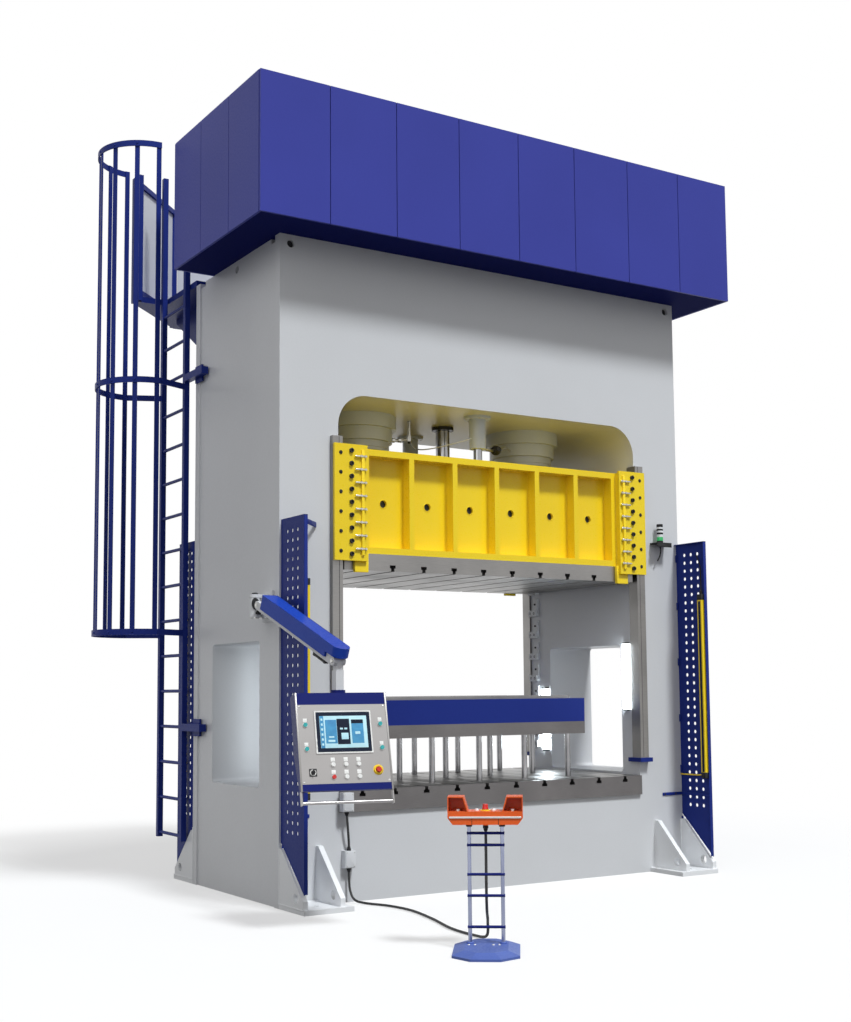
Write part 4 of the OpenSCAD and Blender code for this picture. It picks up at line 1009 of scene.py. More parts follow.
@dataclass
class PressBody:
    """Welded frame: foot welds, rail seams, keeper screws, ground bolster lands and lifting holes."""

    face_y: float = 0.80
    gusset_edges: Few = (1.62, 1.66, 1.92)
    foot_ends: Pair = (1.565, 1.955)
    foot_top: float = 0.035
    toe_y: float = 1.175
    heel_z: float = 0.425
    side_x: float = 1.959
    side_more: Pair = (0.02, 0.03)
    rail_seam: Point = (1.478, 0.84, 2.23)
    keeper_z: float = 1.02
    keeper_pitch: float = 0.205
    keepers: int = 12
    keeper_face: float = 1.425
    keeper_ys: Pair = (0.635, 0.69)
    keeper_up: float = 0.03
    lug_face: float = 1.443
    lug_up: float = 0.115
    slots: Point = (-1.278, 1.3, 0.284)
    slot_half: float = 0.018
    bolster_half: Pair = (1.463, 0.82)
    land_zs: Pair = (0.8198, 0.8206)
    lift_x: float = 1.87
    lift_z: float = 4.93
    lift_depth: float = 0.024
    side_plate_x: float = 1.948

    def build(self, shop: Workshop) -> None:
        """Makes the frame's welds, seams, screws, lands and lifting holes.

        Args:
            shop: where the pieces are made.
        """
        shop.add("foot_welds", four_corners(*self.foot_beads()), FOOT_WHITE)
        seam = stood(slab(0.004, 2.51, 0.0008, 0.001, 0.0003), self.rail_seam, BACK)
        shop.add("rail_seams", four_corners(seam), BLACK_OXIDE)
        rows = self.keeper_z + self.keeper_pitch * np.arange(self.keepers)
        blocks = spots([self.keeper_face], self.keeper_ys, rows + self.keeper_up)
        lugs = spots([self.lug_face], self.keeper_ys[:1], rows + self.lug_up)
        heads = screws(Head.FLUSH, 0.024, blocks, LEFT), screws(Head.SOCKET, 0.018, lugs, LEFT)
        shop.add("keeper_screws", mirrored(0, *heads), BLACK_OXIDE)
        (half, deep), (low, high), gap = self.bolster_half, self.land_zs, self.slot_half
        edges = np.concatenate([[-half], np.arange(*self.slots), [half]])
        lands = [block((a + gap, -deep, low), (b - gap, deep, high), 0.0002)
                 for a, b in zip(edges[:-1], edges[1:])]
        shop.add("bolster_lands", lands, GROUND_STEEL)
        self.lifting_holes(shop)

    def foot_beads(self) -> list[Patch]:
        """Welds along one foot's gussets, its base plate and its outer gusset's side."""
        x, y, z = self.side_x, self.face_y, self.foot_top
        beads = [weld((edge, y, z), (edge, self.toe_y, z)) for edge in self.gusset_edges]
        beads += [weld((edge, y, z), (edge, y, self.heel_z)) for edge in self.gusset_edges]
        beads.append(weld((self.foot_ends[0], y, z), (self.foot_ends[1], y, z)))
        beads.append(weld((x, y, z), (x, self.toe_y + self.side_more[0], z)))
        beads.append(weld((x, y, z), (x, y, self.heel_z + self.side_more[1])))
        return beads

    def lifting_holes(self, shop: Workshop) -> None:
        """Makes the rims of the front lifting holes, and black discs inside the front and side ones as
        painted shade for the holes' depth.

        Args:
            shop: where the pieces are made.
        """
        rim = washer(0.031, 0.038, 0.004)
        rims = [stood(rim, (x, -self.face_y, self.lift_z), FRONT) for x in (self.lift_x, -self.lift_x)]
        shop.add("lifting_rims", rims, PRESS_GREY)
        # Black discs a little inside the holes: painted shade for their depth
        inside = self.face_y - self.lift_depth
        ends = [stood(HOLE_SHADE_DISC, (x, -inside, self.lift_z), FRONT) for x in (-self.lift_x, self.lift_x)]
        inside = self.side_plate_x - self.lift_depth
        ends += [stood(HOLE_SHADE_DISC, (x * inside, 0.0, self.lift_z), (x, 0, 0)) for x in (-1, 1)]
        shop.add("lifting_hole_shade", ends, BLACK_OXIDE)


@dataclass
class SlideDress:
    """Ribbed slide: screws on the guide keepers, adjusting screws, rib welds and pocket holes."""

    body: str = "slide"
    face_y: float = 0.8655
    outer_x: float = 1.478
    inner_x: float = 1.388
    strip_x: float = 1.290
    strip_half: float = 0.012
    low_z: float = 2.61
    high_z: float = 3.36
    foot_low: Point = (1.225, 0.809, 2.456)
    foot_high: Point = (1.345, 0.8405, 2.61)
    end_seam: Point = (1.2455, 0.813, 2.615)
    end_seam_top: float = 3.405
    rib_reach: float = 1.2225
    rib_half: float = 0.0225
    ribs: int = 7
    rib_foot: Pair = (0.712, 2.66)
    weld_r: float = 0.004
    hole_z: float = 3.01
    rim_y: float = 0.71
    shade_disc_y: float = 0.688

    def build(self, shop: Workshop) -> None:
        """Makes the slide's screws, adjusting strips, welds and pocket holes.

        Args:
            shop: where the pieces are made.
        """
        low, high, y = self.low_z, self.high_z, self.face_y
        outer = spots([self.outer_x], [y], np.linspace(low, high, 6))
        bolts = screws(Head.HEX, 0.024, outer, BACK)
        shop.add("keeper_bolts", four_corners(bolts), BLACK_OXIDE, self.body)
        inner = spots([self.inner_x], [y], np.linspace(low - 0.02, high + 0.02, 9))
        sockets = screws(Head.SOCKET, 0.036, inner, BACK)
        shop.add("keeper_sockets", four_corners(sockets), BLACK_OXIDE, self.body)
        strip = block((self.strip_x - self.strip_half, y - 0.001, low - 0.03),
                      (self.strip_x + self.strip_half, y + 0.014, high + 0.03))
        shop.add("adjusting_strips", four_corners(strip), SLIDE_YELLOW, self.body)
        foot = block(self.foot_low, self.foot_high, 0.003)
        shop.add("keeper_feet", four_corners(foot), SLIDE_YELLOW, self.body)
        studs = [self.stud(z) for z in np.linspace(low + 0.02, high - 0.02, 8)]
        shop.add("adjusting_screws", four_corners(*studs), ZINC, self.body)
        self.pockets(shop)

    def pockets(self, shop: Workshop) -> None:
        """Makes the welds at the ribs, and a rim at the hole in each pocket with a black disc inside as
        painted shade for the hole's depth.

        Args:
            shop: where the pieces are made.
        """
        ribs = np.linspace(-self.rib_reach, self.rib_reach, self.ribs)
        x, y, z = self.end_seam
        seams = [weld((end, y, z), (end, y, self.end_seam_top), self.weld_r) for end in (-x, x)]
        y, z = self.rib_foot
        for side in (*(ribs[1:] - self.rib_half), *(ribs[:-1] + self.rib_half)):
            seams.append(weld((side, y, z), (side, y, self.high_z), self.weld_r))
        shop.add("rib_welds", mirrored(1, *seams), SLIDE_YELLOW, self.body)
        middles = (ribs[:-1] + ribs[1:]) / 2
        rim = washer(0.0305, 0.036, 0.003)
        rims = [stood(rim, (x, self.rim_y, self.hole_z), BACK) for x in middles]
        shop.add("pocket_rims", mirrored(1, *rims), SLIDE_YELLOW, self.body)
        # Black discs a little inside the pocket holes: painted shade for their depth
        plugs = [stood(HOLE_SHADE_DISC, (x, self.shade_disc_y, self.hole_z), BACK) for x in middles]
        shop.add("pocket_hole_shade", mirrored(1, *plugs), BLACK_OXIDE, self.body)

    def stud(self, z: float) -> Patch:
        """Adjusting screw along x through the strip, with a lock nut on each side.

        Args:
            z: its height.

        Returns:
            The screw and its nuts.
        """
        axes = Axes.facing((self.strip_x - 0.032, self.face_y + 0.013, z), RIGHT)
        shaft = turned([(0.0062, 0), (0.007, 0.002), (0.007, 0.096), (0.006, 0.1)], 10)
        nut = turned([(0.0125, 0), (0.0135, 0.001), (0.0135, 0.011), (0.0125, 0.012)], 12, 6)
        return Patch.joined([axes.place(shaft), *(axes.at(0, 0, h).place(nut) for h in (0.044, 0.008))])


@dataclass
class CylinderDress:
    """Cylinders under the crown: gland rings, flange screws, thin pipes, a stroke scale and a valve."""

    main_x: float = 0.845
    barrel_z: float = 3.613
    gland_h: float = 0.085
    return_y: float = 0.537
    flange_r: float = 0.094
    flange_z: float = 3.808
    flange_screws: int = 8
    scale: Pair = (-0.403, -0.103)
    routes: tuple[Route, ...] = (
        ((0.06, -0.53, 3.575), (0.13, -0.5, 3.572), (0.19, -0.47, 3.575), (0.3, -0.42, 3.6),
         (0.45, -0.3, 3.65), (0.61, -0.15, 3.66)),
        ((-0.61, -0.085, 3.65), (-0.56, -0.09, 3.655), (-0.5, -0.1, 3.66), (-0.42, -0.103, 3.672)),
        ((-0.403, -0.115, 3.66), (-0.39, -0.2, 3.58), (-0.33, -0.32, 3.568), (-0.2, -0.45, 3.6),
         (-0.06, -0.54, 3.645)))
    pipe_rs: Few = (0.011, 0.010, 0.005)
    nuts: Route = ((-0.555, -0.0905, 3.655), (-0.5, -0.1, 3.66))
    nut_along: Point = (1, -0.1, 0.05)
    valve_place: Point = (0.25, -0.445, 3.584)
    valve_along: Point = (0.84, 0.4, 0.12)
    stem_place: Point = (0.25, -0.475, 3.584)
    stem_along: Point = (-0.4, -0.9, 0)

    def build(self, shop: Workshop) -> None:
        """Makes the fittings round the cylinders.

        Args:
            shop: where the pieces are made.
        """
        turn = (np.arange(self.flange_screws) + 0.5) * 2 * math.pi / self.flange_screws
        x, y = self.flange_r * np.cos(turn), self.return_y + self.flange_r * np.sin(turn)
        small = np.column_stack([x, y, np.full(self.flange_screws, self.flange_z)])
        shop.add("flange_screws", mirrored(1, screws(Head.HEX, 0.018, small, DOWN, BACK)), ZINC)
        h = self.gland_h
        gland = turned_ring([(0.2325, 0.0), (0.2325, h), (0.262, h), (0.262, 0.03), (0.256, 0.026),
                             (0.256, 0.006), (0.25, 0.0)], 64)
        glands = [gland.moved((x, 0, self.barrel_z - h)) for x in (-self.main_x, self.main_x)]
        shop.add("rod_glands", glands, CYLINDER_GREY)
        shop.add("pressure_pipes", self.pipes(), ZINC)
        shop.add("stop_valve", self.valve(), BLACK_OXIDE)
        foot = Axes.facing((*self.scale, 0.0), UP)
        sleeve = turned([(0.0148, 3.702), (0.0148, 3.828)], 18)
        nut = turned([(0.025, 3.655), (0.027, 3.657), (0.027, 3.702), (0.025, 3.704)], 12, 6)
        shop.add("scale_nut", [foot.place(sleeve), foot.place(nut)], ZINC)

    def pipes(self) -> list[Patch]:
        """Bent pipes between the cylinders, each seated in a barrel or a fitting at both ends."""
        pipes = [tube(smooth_path(route, 6), r, 10) for route, r in zip(self.routes, self.pipe_rs)]
        nut = turned([(0.017, -0.014), (0.019, -0.012), (0.019, 0.012), (0.017, 0.014)], 12, 6)
        return pipes + [stood(nut, place, self.nut_along) for place in self.nuts]

    def valve(self) -> list[Patch]:
        """Ball valve on the first pipe, with its stem."""
        half = [(0.041, 0.012), (0.034, 0.027), (0.026, 0.032), (0.026, 0.048), (0.02, 0.05)]
        body = turned([(r, -h) for r, h in reversed(half)] + half, 20)
        stem = turned([(0.013, 0), (0.013, 0.03), (0.022, 0.032), (0.022, 0.044), (0.018, 0.048)], 16)
        return [stood(body, self.valve_place, self.valve_along),
                stood(stem, self.stem_place, self.stem_along)]


@dataclass
class LadderDress:
    """Rear ladder: rivets where the cage's bars cross its hoops."""

    centre: Pair = (-2.2775, 1.21)
    radius: float = 0.40
    hoops: Few = (2.055, 4.15, 6.175)
    bars: Few = (120, 150, 180, 210, 240)

    def build(self, shop: Workshop) -> None:
        """Makes the rivets.

        Args:
            shop: where the pieces are made.
        """
        rivets = []
        for angle in np.radians(self.bars):
            out = np.array([math.cos(angle), math.sin(angle), 0.0])
            place = np.array([[*self.centre, z] for z in self.hoops]) + out * self.radius
            rivets.append(screws(Head.DOME, 0.018, place, out))
        shop.add("cage_rivets", rivets, TRIM_BLUE)


@dataclass
class GuardDress:
    """Side guards: lips, brackets, hinge pins, a stay, and the light curtains' lenses and leads."""

    plate_x: float = 1.939
    root_y: float = 0.80
    edge_y: float = 1.17
    top_z: float = 2.825
    foot_z: float = 0.14
    lip: float = 0.006
    lip_w: float = 0.024
    proud: float = 0.001
    bracket_x: float = 1.715
    bracket_z: float = 0.635
    bracket_h: float = 0.026
    bracket_t: float = 0.008
    bolt_xs: Pair = (1.74, 1.86)
    hinge_zs: Few = (0.42, 0.86, 1.3, 1.79, 2.28, 2.7)
    stay_place: Point = (-1.79, -0.9415, 2.80)
    stay_face: Point = (0.729, -0.684, 0.0)
    lens_place: Point = (1.889, 1.13, 1.575)
    end_low: Pair = (1.8875, 1.1035)
    end_high: Pair = (1.9395, 1.1565)
    end_zs: Pair = (0.792, 2.316)
    end_h: float = 0.05
    plug_place: Point = (1.914, 1.13, 2.366)
    lead: Route = (
        (1.914, 1.13, 2.4), (1.916, 1.128, 2.5), (1.926, 1.11, 2.62), (1.93, 1.06, 2.72))
    conduit: Route = (
        (1.93, 1.092, 2.32), (1.93, 1.092, 1.6), (1.93, 1.092, 0.86), (1.93, 1.08, 0.825),
        (1.93, 1.03, 0.815), (1.93, 0.9, 0.814), (1.93, 0.803, 0.814))

    def build(self, shop: Workshop) -> None:
        """Makes the lips, brackets, hinge pins and the stay, and dresses the light curtains.

        Args:
            shop: where the pieces are made.
        """
        x, y, top = self.plate_x, self.edge_y, self.top_z
        inner, outer = x - self.lip_w, x + self.proud
        upright = block((inner, y - self.lip, self.foot_z), (outer, y, top), 0.0012)
        across = block((inner, self.root_y + self.proud, top - self.lip), (outer, y, top), 0.0012)
        shop.add("guard_lips", four_corners(upright, across), TRIM_BLUE)
        shop.add("guard_brackets", four_corners(*self.bracket()), TRIM_BLUE)
        middle = self.bracket_z + self.bracket_h / 2
        seats = spots(self.bolt_xs, [self.root_y + self.bracket_t], [middle])
        shop.add("bracket_bolts", four_corners(screws(Head.HEX, 0.014, seats, BACK)), BLACK_OXIDE)
        pin = turned([(0.008, -0.032), (0.009, -0.03), (0.009, 0.03), (0.008, 0.032)], 14)
        pins = [stood(pin, (x - 0.007, self.root_y + 0.0085, z), UP) for z in self.hinge_zs]
        shop.add("guard_hinges", four_corners(*pins), TRIM_BLUE)
        stay = stood(slab(0.38, 0.04, 0.006), self.stay_place, self.stay_face)
        shop.add("guard_stay", stay, TRIM_BLUE)
        self.curtains(shop)

    def curtains(self, shop: Workshop) -> None:
        """Makes the light curtains' lenses, ends, leads and conduits.

        Args:
            shop: where the pieces are made.
        """
        lens = stood(slab(0.026, 1.46, 0.0016, 0.004, 0.0004), self.lens_place, LEFT)
        shop.add("curtain_lenses", four_corners(lens), SCREEN_DARK)
        ends = [block((*self.end_low, z), (*self.end_high, z + self.end_h)) for z in self.end_zs]
        ends.append(stood(turned([(0.012, -0.001), (0.012, 0.03), (0.008, 0.034), (0.007, 0.05)], 16),
                          self.plug_place, UP))
        ends.append(tube(smooth_path(self.lead, 8), 0.005, 8))
        shop.add("curtain_ends", four_corners(*ends), BLACK_PLASTIC)
        conduit = tube(smooth_path(self.conduit, 8), 0.006, 10)
        shop.add("curtain_conduits", four_corners(conduit), STOP_YELLOW)

    def bracket(self) -> list[Patch]:
        """Angle between the upright's face and the guard: a leg on each."""
        x, y, low, thick = self.plate_x, self.root_y, self.bracket_z, self.bracket_t
        high = low + self.bracket_h
        return [block((self.bracket_x, y - self.proud, low), (x, y + thick, high)),
                block((x - thick, y, low), (x + self.proud / 2, self.edge_y - 0.01, high))]


@dataclass
class LampDress:
    """Signal tower as a stack of turned rings on its shelf, and the work lights' caps."""

    x: float = 1.71
    y: float = -0.85
    shelf_z: float = 2.828
    r: float = 0.028
    soft: float = 0.0025
    shelf_low: Point = (1.635, -0.9, 2.814)
    shelf_end: Pair = (1.80, -0.8)
    lip_z: float = 2.788
    lip_back: Pair = (-0.892, 2.816)
    lead: Route = (
        (1.71, -0.85, 2.816), (1.713, -0.852, 2.76), (1.702, -0.85, 2.71), (1.68, -0.845, 2.67))
    black: tuple[Pair, ...] = ((0.0, 0.018), (0.075, 0.09), (0.108, 0.122), (0.14, 0.165))
    pale: tuple[Pair, ...] = ((0.05, 0.075), (0.09, 0.108), (0.122, 0.14))
    green: Pair = (0.018, 0.05)
    tubes: Route = ((-0.7, 1.37, 1.96), (0.47, 0.985, 1.575))
    wall_x: float = 1.4655
    cap_x: float = 1.4285
    clip_x: float = 1.4585

    def build(self, shop: Workshop) -> None:
        """Makes the tower in place of its plain shape, and caps the tube lights.

        Args:
            shop: where the pieces are made.
        """
        x, y, _ = self.shelf_low
        end_x, end_y = self.shelf_end
        stack = [block(self.shelf_low, (end_x, end_y, self.shelf_z)),
                 block((x, y, self.lip_z), (end_x, *self.lip_back)),
                 tube(smooth_path(self.lead, 8), 0.006, 8)]
        stack += [self.ring(*span, 1.0) for span in self.black]
        shop.add("tower_stack", stack, BLACK_PLASTIC, stands_for=["signal_tower"])
        shop.add("tower_green", self.ring(*self.green, 0.98), SIGNAL_GREEN)
        shop.add("tower_pale", [self.ring(*span, 0.96) for span in self.pale], LENS_WHITE)
        caps, clips = [], []
        for y, low, high in self.tubes:
            caps += [block((self.cap_x, y - 0.0015, z), (self.wall_x, y + 0.0615, z + 0.016))
                     for z in (low - 0.001, high - 0.015)]
            clips += [block((self.clip_x, y - 0.02, z), (self.wall_x, y + 0.08, z + 0.03))
                      for z in (low + 0.1, high - 0.13)]
        shop.add("light_caps", caps, BLACK_PLASTIC)
        shop.add("light_clips", clips, ZINC)

    def ring(self, low: float, high: float, share: float) -> Patch:
        """One turned section of the tower.

        Args:
            low: its foot above the shelf.
            high: its top above the shelf.
            share: its radius as a share of the tower's.

        Returns:
            The closed section.
        """
        r, soft = self.r * share, self.soft
        body = turned([(r - soft, low), (r, low + soft * 0.6), (r, high - soft), (r - soft, high)], 32)
        return body.moved((self.x, self.y, self.shelf_z))


@dataclass
class ArmDress:
    """Swing arm: caps and pin heads at its joints, and the gas spring under its beam."""

    body: str = "arm"
    root: str = "arm_shoulder"
    shoulder: Point = (-2.074, -0.626, 2.279)
    plug_place: Point = (-2.094, -0.672, 2.205)
    plug_face: Point = (-0.7, -0.71, 0)
    plug_size: Point = (0.026, 0.044, 1.0)
    knob_place: Point = (-2.0715, -0.678, 2.1625)
    ear_xs: Few = (-2.09, -2.04, -2.0)
    ear_ys: Few = (-0.66, -0.595)
    ear_z: float = 2.104
    pin: Point = (-2.06863, -0.73587, 2.19)
    along: Point = (0.04529, -0.92608, -0.37461)
    above: Point = (0.01830, -0.37416, 0.92718)
    length: float = 1.152
    pin_half: float = 0.045
    seam_half: float = 0.058
    seam_at: Pair = (0.62, 0.108)
    spring_at: Pair = (0.85, -0.056)
    lug_ys: Pair = (0.862, 1.005)
    lug_z: float = -0.07

    def build(self, shop: Workshop) -> None:
        """Makes the arm's fittings.

        Args:
            shop: where the pieces are made.
        """
        cap = turned([(0.024, -0.003), (0.024, 0.004), (0.021, 0.008), (0.012, 0.011),
                      (0.004, 0.012)], 28)
        shop.add("shoulder_cap", stood(cap, self.shoulder, UP), BLACK_PLASTIC, self.root)
        plug = turned([(1.0, -0.02), (1.0, 0.002), (0.88, 0.007), (0.35, 0.009), (0.06, 0.009)], 28)
        plug = Patch(plug.points * self.plug_size, plug.faces)
        knob = turned([(0.01, 0), (0.01, 0.012), (0.02, 0.016), (0.022, 0.024), (0.02, 0.034),
                       (0.01, 0.038)], 18)
        plugs = [stood(plug, self.plug_place, self.plug_face), stood(knob, self.knob_place, DOWN, BACK)]
        shop.add("shoulder_plug", plugs, BLACK_PLASTIC, self.root)
        ear = spots(self.ear_xs, self.ear_ys, [self.ear_z])
        shop.add("ear_nuts", screws(Head.HEX, 0.02, ear, DOWN, BACK), ZINC)
        beam = Axes.facing(self.pin, self.above, self.along)
        heads = [screws(Head.HEX, 0.03, beam.at(side * self.pin_half, y).origin, beam.turn[0] * side)
                 for side in (-1, 1) for y in (0.0, self.length)]
        shop.add("arm_pin_heads", heads, ZINC, self.body)
        shop.add("gas_spring", self.spring(beam), BLACK_OXIDE, self.body)
        seam = slab(0.006, 0.7, 0.0008, 0.002, 0.0003)
        seams = [beam.at(x, *self.seam_at).place(seam) for x in (-self.seam_half, self.seam_half)]
        shop.add("cover_seams", seams, TRIM_BLUE, self.body)

    def spring(self, beam: Axes) -> list[Patch]:
        """Gas spring's tube and the lugs that hold it to the beam.

        Args:
            beam: the arm's frame, with y along it and z above it.

        Returns:
            The tube and two lugs.
        """
        body = turned([(0.009, 0), (0.018, 0.004), (0.018, 0.15), (0.014, 0.156), (0.009, 0.17)], 20)
        lug = slab(0.036, 0.026, 0.042, 0.006)
        return [stood(body, beam.at(0, *self.spring_at).origin, self.along),
                *(beam.at(0, y, self.lug_z).place(lug) for y in self.lug_ys)]


@dataclass
class ConsoleDress:
    """Operator's console: screen picture, bare label plates, bezels, side cheeks and screws."""

    body: str = "console"
    hang: Point = (-2.01645, -1.80271, 1.53245)
    across: Point = (0.97815, -0.20791, 0.0)
    through: Point = (0.20083, 0.94482, -0.25882)
    face: float = 0.06
    half_w: float = 0.313
    lamp_xs: Few = (-0.256, 0.256)
    lamp_zs: Few = (-0.215, -0.375)
    mode_xs: Few = (-0.087, 0.0, 0.087)
    mode_zs: Few = (-0.48, -0.562)
    lamp_plate: Point = (0.026, 0.024, 0.031)
    mode_plate: Point = (0.028, 0.026, 0.033)
    stop_at: Pair = (0.218, -0.522)
    switch_at: Pair = (-0.225, -0.53)
    switch_t: float = 0.0016
    screw_inset: float = 0.026
    screw_zs: Pair = (-0.092, -0.593)
    cheek_x: float = 0.3075
    cheek_z: float = -0.326
    glass_at: Point = (0, -0.266, 0.008)
    glass_t: float = 0.0008
    tile_step: float = 0.0004

    def build(self, shop: Workshop) -> None:
        """Makes everything that is fixed on the console's faces.

        Args:
            shop: where the pieces are made.
        """
        inward = np.asarray(self.through)
        up = np.cross(self.across, inward)
        front = Axes.facing(np.asarray(self.hang) - inward * self.face, -inward, up)
        self.screen(shop, front)
        lamps, modes = spots(self.lamp_xs, self.lamp_zs), spots(self.mode_xs, self.mode_zs)
        plates = []
        for places, (w, h, above) in ((lamps, self.lamp_plate), (modes, self.mode_plate)):
            plates += [front.at(x, z + above).place(slab(w, h, 0.0008, 0.001, 0.0003))
                       for x, z in places]
        shop.add("label_plates", plates, CAP_WHITE, self.body)
        rings = [front.at(x, z).place(washer(0.0144, 0.0172, 0.003)) for x, z in modes]
        rings += [front.at(x, z).place(washer(0.0142, 0.0178, 0.003)) for x, z in lamps]
        shop.add("button_bezels", rings, ZINC, self.body)
        stop = front.at(*self.stop_at)
        collar = [stop.place(washer(0.0135, 0.035, 0.0012)), stop.place(washer(0.0212, 0.0305, 0.011))]
        shop.add("stop_collar", collar, STOP_YELLOW, self.body)
        switch, thick = front.at(*self.switch_at), self.switch_t
        plate = switch.place(slab(0.052, 0.052, thick, 0.004, 0.0005))
        shop.add("selector_plate", plate, BLACK_OXIDE, self.body)
        ring = switch.at(0, 0, thick).place(washer(0.0145, 0.0215, thick))
        shop.add("selector_ring", ring, ZINC, self.body)
        reach = self.half_w - self.screw_inset
        corners = spots((-reach, reach), self.screw_zs)
        heads = [front.at(x, z).place(screw(Head.DOME, 0.011)) for x, z in corners]
        shop.add("face_screws", heads, ZINC, self.body)
        cheek = slab(0.0125, 0.654, 0.003, 0.002, 0.0008)
        cheeks = [front.at(x, self.cheek_z).place(cheek) for x in (-self.cheek_x, self.cheek_x)]
        shop.add("console_cheeks", cheeks, GROUND_STEEL, self.body)

    def screen(self, shop: Workshop, front: Axes) -> None:
        """Shows a plain picture of panels on the screen, with no writing.

        Args:
            shop: where the pieces are made.
            front: frame of the console's face, with y up.
        """
        glass = front.at(*self.glass_at)
        sheet = slab(0.369, 0.266, self.glass_t, 0.003, 0.0003)
        shop.add("screen_glass", glass.place(sheet), SCREEN_DARK, self.body)
        ground = [(0.0, 0.0, 0.322, 0.214)]
        blue = [(-0.0858, 0.002, 0.077, 0.158), (0.095, 0.002, 0.082, 0.158),
                (-0.1465, 0.0, 0.026, 0.214)]
        dark = [(-0.002, 0.002, 0.087, 0.17), (0.095, 0.068, 0.082, 0.026)]
        light = [(0.006, -0.029, 0.048, 0.043), (-0.015, 0.021, 0.02, 0.012),
                 (0.0145, 0.021, 0.02, 0.012), (0.095, -0.008, 0.034, 0.018),
                 (-0.086, -0.034, 0.036, 0.01), (-0.086, -0.06, 0.046, 0.014)]
        light += [(-0.1465, 0.083 - 0.0332 * i, 0.013, 0.015) for i in range(6)]
        layers = (("screen_ground", SCREEN_PALE, ground), ("screen_panels", SCREEN_BLUE, blue),
                  ("screen_fields", SCREEN_DARK, dark), ("screen_marks", SCREEN_PALE, light))
        for layer, (name, finish, boxes) in enumerate(layers):
            lift = self.glass_t + self.tile_step * layer
            tiles = [glass.at(x, y, lift).place(slab(w, h, 0.0005, 0.002, 0.0001))
                     for x, y, w, h in boxes]
            shop.add(name, tiles, finish, self.body)


@dataclass
class StandDress:
    """Two-hand stand: the stop's yellow collar, lamps, a bumper strip, blue rungs and foot bolts."""

    origin: Point = (-1.619, -2.941, 0.0)
    turn: float = math.radians(-36)
    top_z: float = 0.83
    lamp_xs: Pair = (-0.052, 0.052)
    strip_at: Point = (0, -0.075, 0.795)
    seam_xs: Pair = (-0.08, 0.08)
    leg_xs: Pair = (-0.1, 0.1)
    leg_top: float = 0.734
    base_top: float = 0.04
    rungs: Few = (0.138, 0.323, 0.449, 0.624, 0.695)
    rung_half: float = 0.114
    rung_y: float = -0.0075
    bolt_xs: Few = (-0.107, -0.07, 0.04, 0.077)
    bolt_y: float = -0.055

    def build(self, shop: Workshop) -> None:
        """Makes the stand's fittings.

        Args:
            shop: where the pieces are made.
        """
        back = np.array([-math.sin(self.turn), math.cos(self.turn), 0.0])
        flat = Axes.facing(self.origin, UP, back)
        self.head(shop, flat.at(0, 0, self.top_z))
        front = Axes.facing(flat.at(*self.strip_at).origin, -back)
        shop.add("stand_strip", front.place(slab(0.436, 0.012, 0.007, 0.005, 0.0018)), ZINC)
        seam = slab(0.003, 0.036, 0.0006, 0.001, 0.0002)
        seams = [front.at(x, -0.026).place(seam) for x in self.seam_xs]
        seams += [flat.at(x, 0, self.leg_top).place(washer(0.0121, 0.019, 0.016)) for x in self.leg_xs]
        shop.add("stand_seams", seams, BLACK_PLASTIC)
        across = np.linspace(-self.rung_half, self.rung_half, 6)
        paths = [np.array([flat.at(x, self.rung_y, z).origin for x in across]) for z in self.rungs]
        shop.add("stand_rungs", [tube(path, 0.0088, 14) for path in paths], CONSOLE_BLUE)
        bolt = screw(Head.DOME, 0.016)
        bolts = [flat.at(x, self.bolt_y, self.base_top).place(bolt) for x in self.bolt_xs]
        shop.add("foot_bolts", bolts, ZINC)
        collars = [flat.at(x, 0, self.base_top).place(washer(0.0121, 0.024, 0.01)) for x in self.leg_xs]
        shop.add("leg_collars", collars, STAND_BLUE)

    def head(self, shop: Workshop, top: Axes) -> None:
        """Makes the stop's collar and cap, and the two small lamps beside it.

        Args:
            shop: where the pieces are made.
            top: frame on the head's top, with y towards the back.
        """
        collar = [top.place(washer(0.0135, 0.032, 0.0012)), top.place(washer(0.0212, 0.029, 0.006))]
        shop.add("stand_stop_base", collar, STOP_YELLOW)
        cap = turned([(0.0165, 0.02), (0.0165, 0.036), (0.0145, 0.039), (0.004, 0.0395)], 24)
        shop.add("stand_stop_cap", top.place(cap), CAP_RED, "stand_stop")
        lamp = turned([(0.014, -0.001), (0.014, 0.004), (0.011, 0.006), (0.01, 0.012),
                       (0.003, 0.014)], 20)
        shop.add("stand_lamps", [top.at(x, -0.01).place(lamp) for x in self.lamp_xs], LENS_WHITE)


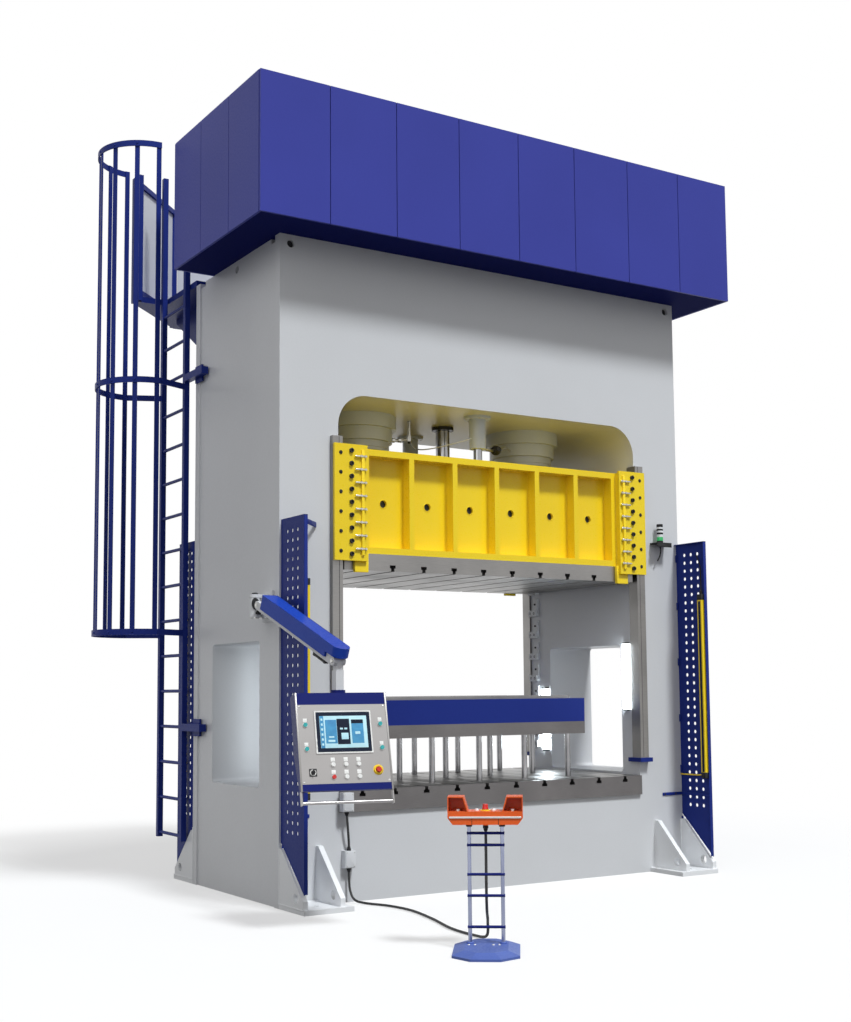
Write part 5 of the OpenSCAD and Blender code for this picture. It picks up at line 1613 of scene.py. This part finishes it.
@dataclass
class CableBoxDress:
    """Cable boxes: lids with corner screws, and the glands that hold the cord."""

    boxes: tuple[tuple[Point, Pair], ...] = (
        ((-1.43, -0.885, 0.738), (0.09, 0.14)), ((-1.4, -0.86, 0.3175), (0.09, 0.125)))
    lid_gap: float = 0.008
    lid_t: float = 0.004
    screw_inset: float = 0.013
    glands: tuple[tuple[Point, Point], ...] = (
        ((-1.43, -0.855, 0.668), DOWN), ((-1.4, -0.83, 0.255), DOWN),
        ((-1.4, -0.83, 0.38), UP), ((-1.598, -2.912, 0.735), DOWN))

    def build(self, shop: Workshop) -> None:
        """Makes the lids, their screws and the glands.

        Args:
            shop: where the pieces are made.
        """
        lids, heads = [], []
        for place, (w, h) in self.boxes:
            front = Axes.facing(place, FRONT)
            lids.append(front.place(slab(w - self.lid_gap, h - self.lid_gap, self.lid_t, 0.008)))
            x, z = w / 2 - self.screw_inset, h / 2 - self.screw_inset
            head = screw(Head.DOME, 0.009)
            heads += [front.at(*corner, self.lid_t).place(head) for corner in spots((-x, x), (-z, z))]
        shop.add("box_lids", lids, PRESS_GREY)
        shop.add("lid_screws", heads, ZINC)
        nut = turned([(0.017, -0.001), (0.017, 0.014), (0.0135, 0.017), (0.0125, 0.026),
                      (0.0105, 0.03)], 24)
        glands = [stood(nut, place, out, BACK) for place, out in self.glands]
        shop.add("cord_glands", glands, BLACK_PLASTIC)


def main() -> None:
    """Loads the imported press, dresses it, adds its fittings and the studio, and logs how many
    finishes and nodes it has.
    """
    logging.basicConfig(level=logging.INFO, format="%(name)s: %(message)s")
    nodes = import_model()["nodes"]
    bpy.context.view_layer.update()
    shop = Workshop(nodes)
    for finish, names in NODE_FINISHES.items():
        shop.dress(finish, names.split())
    for part in (PressBody(), SlideDress(), CylinderDress(), LadderDress(), GuardDress(), LampDress(),
                 ArmDress(), ConsoleDress(), StandDress(), CableBoxDress(), Cords()):
        part.build(shop)
    Studio().build()
    LOG.info("%d finishes, %d nodes", len(shop.materials), len(nodes))


if __name__ == "__main__":
    main()
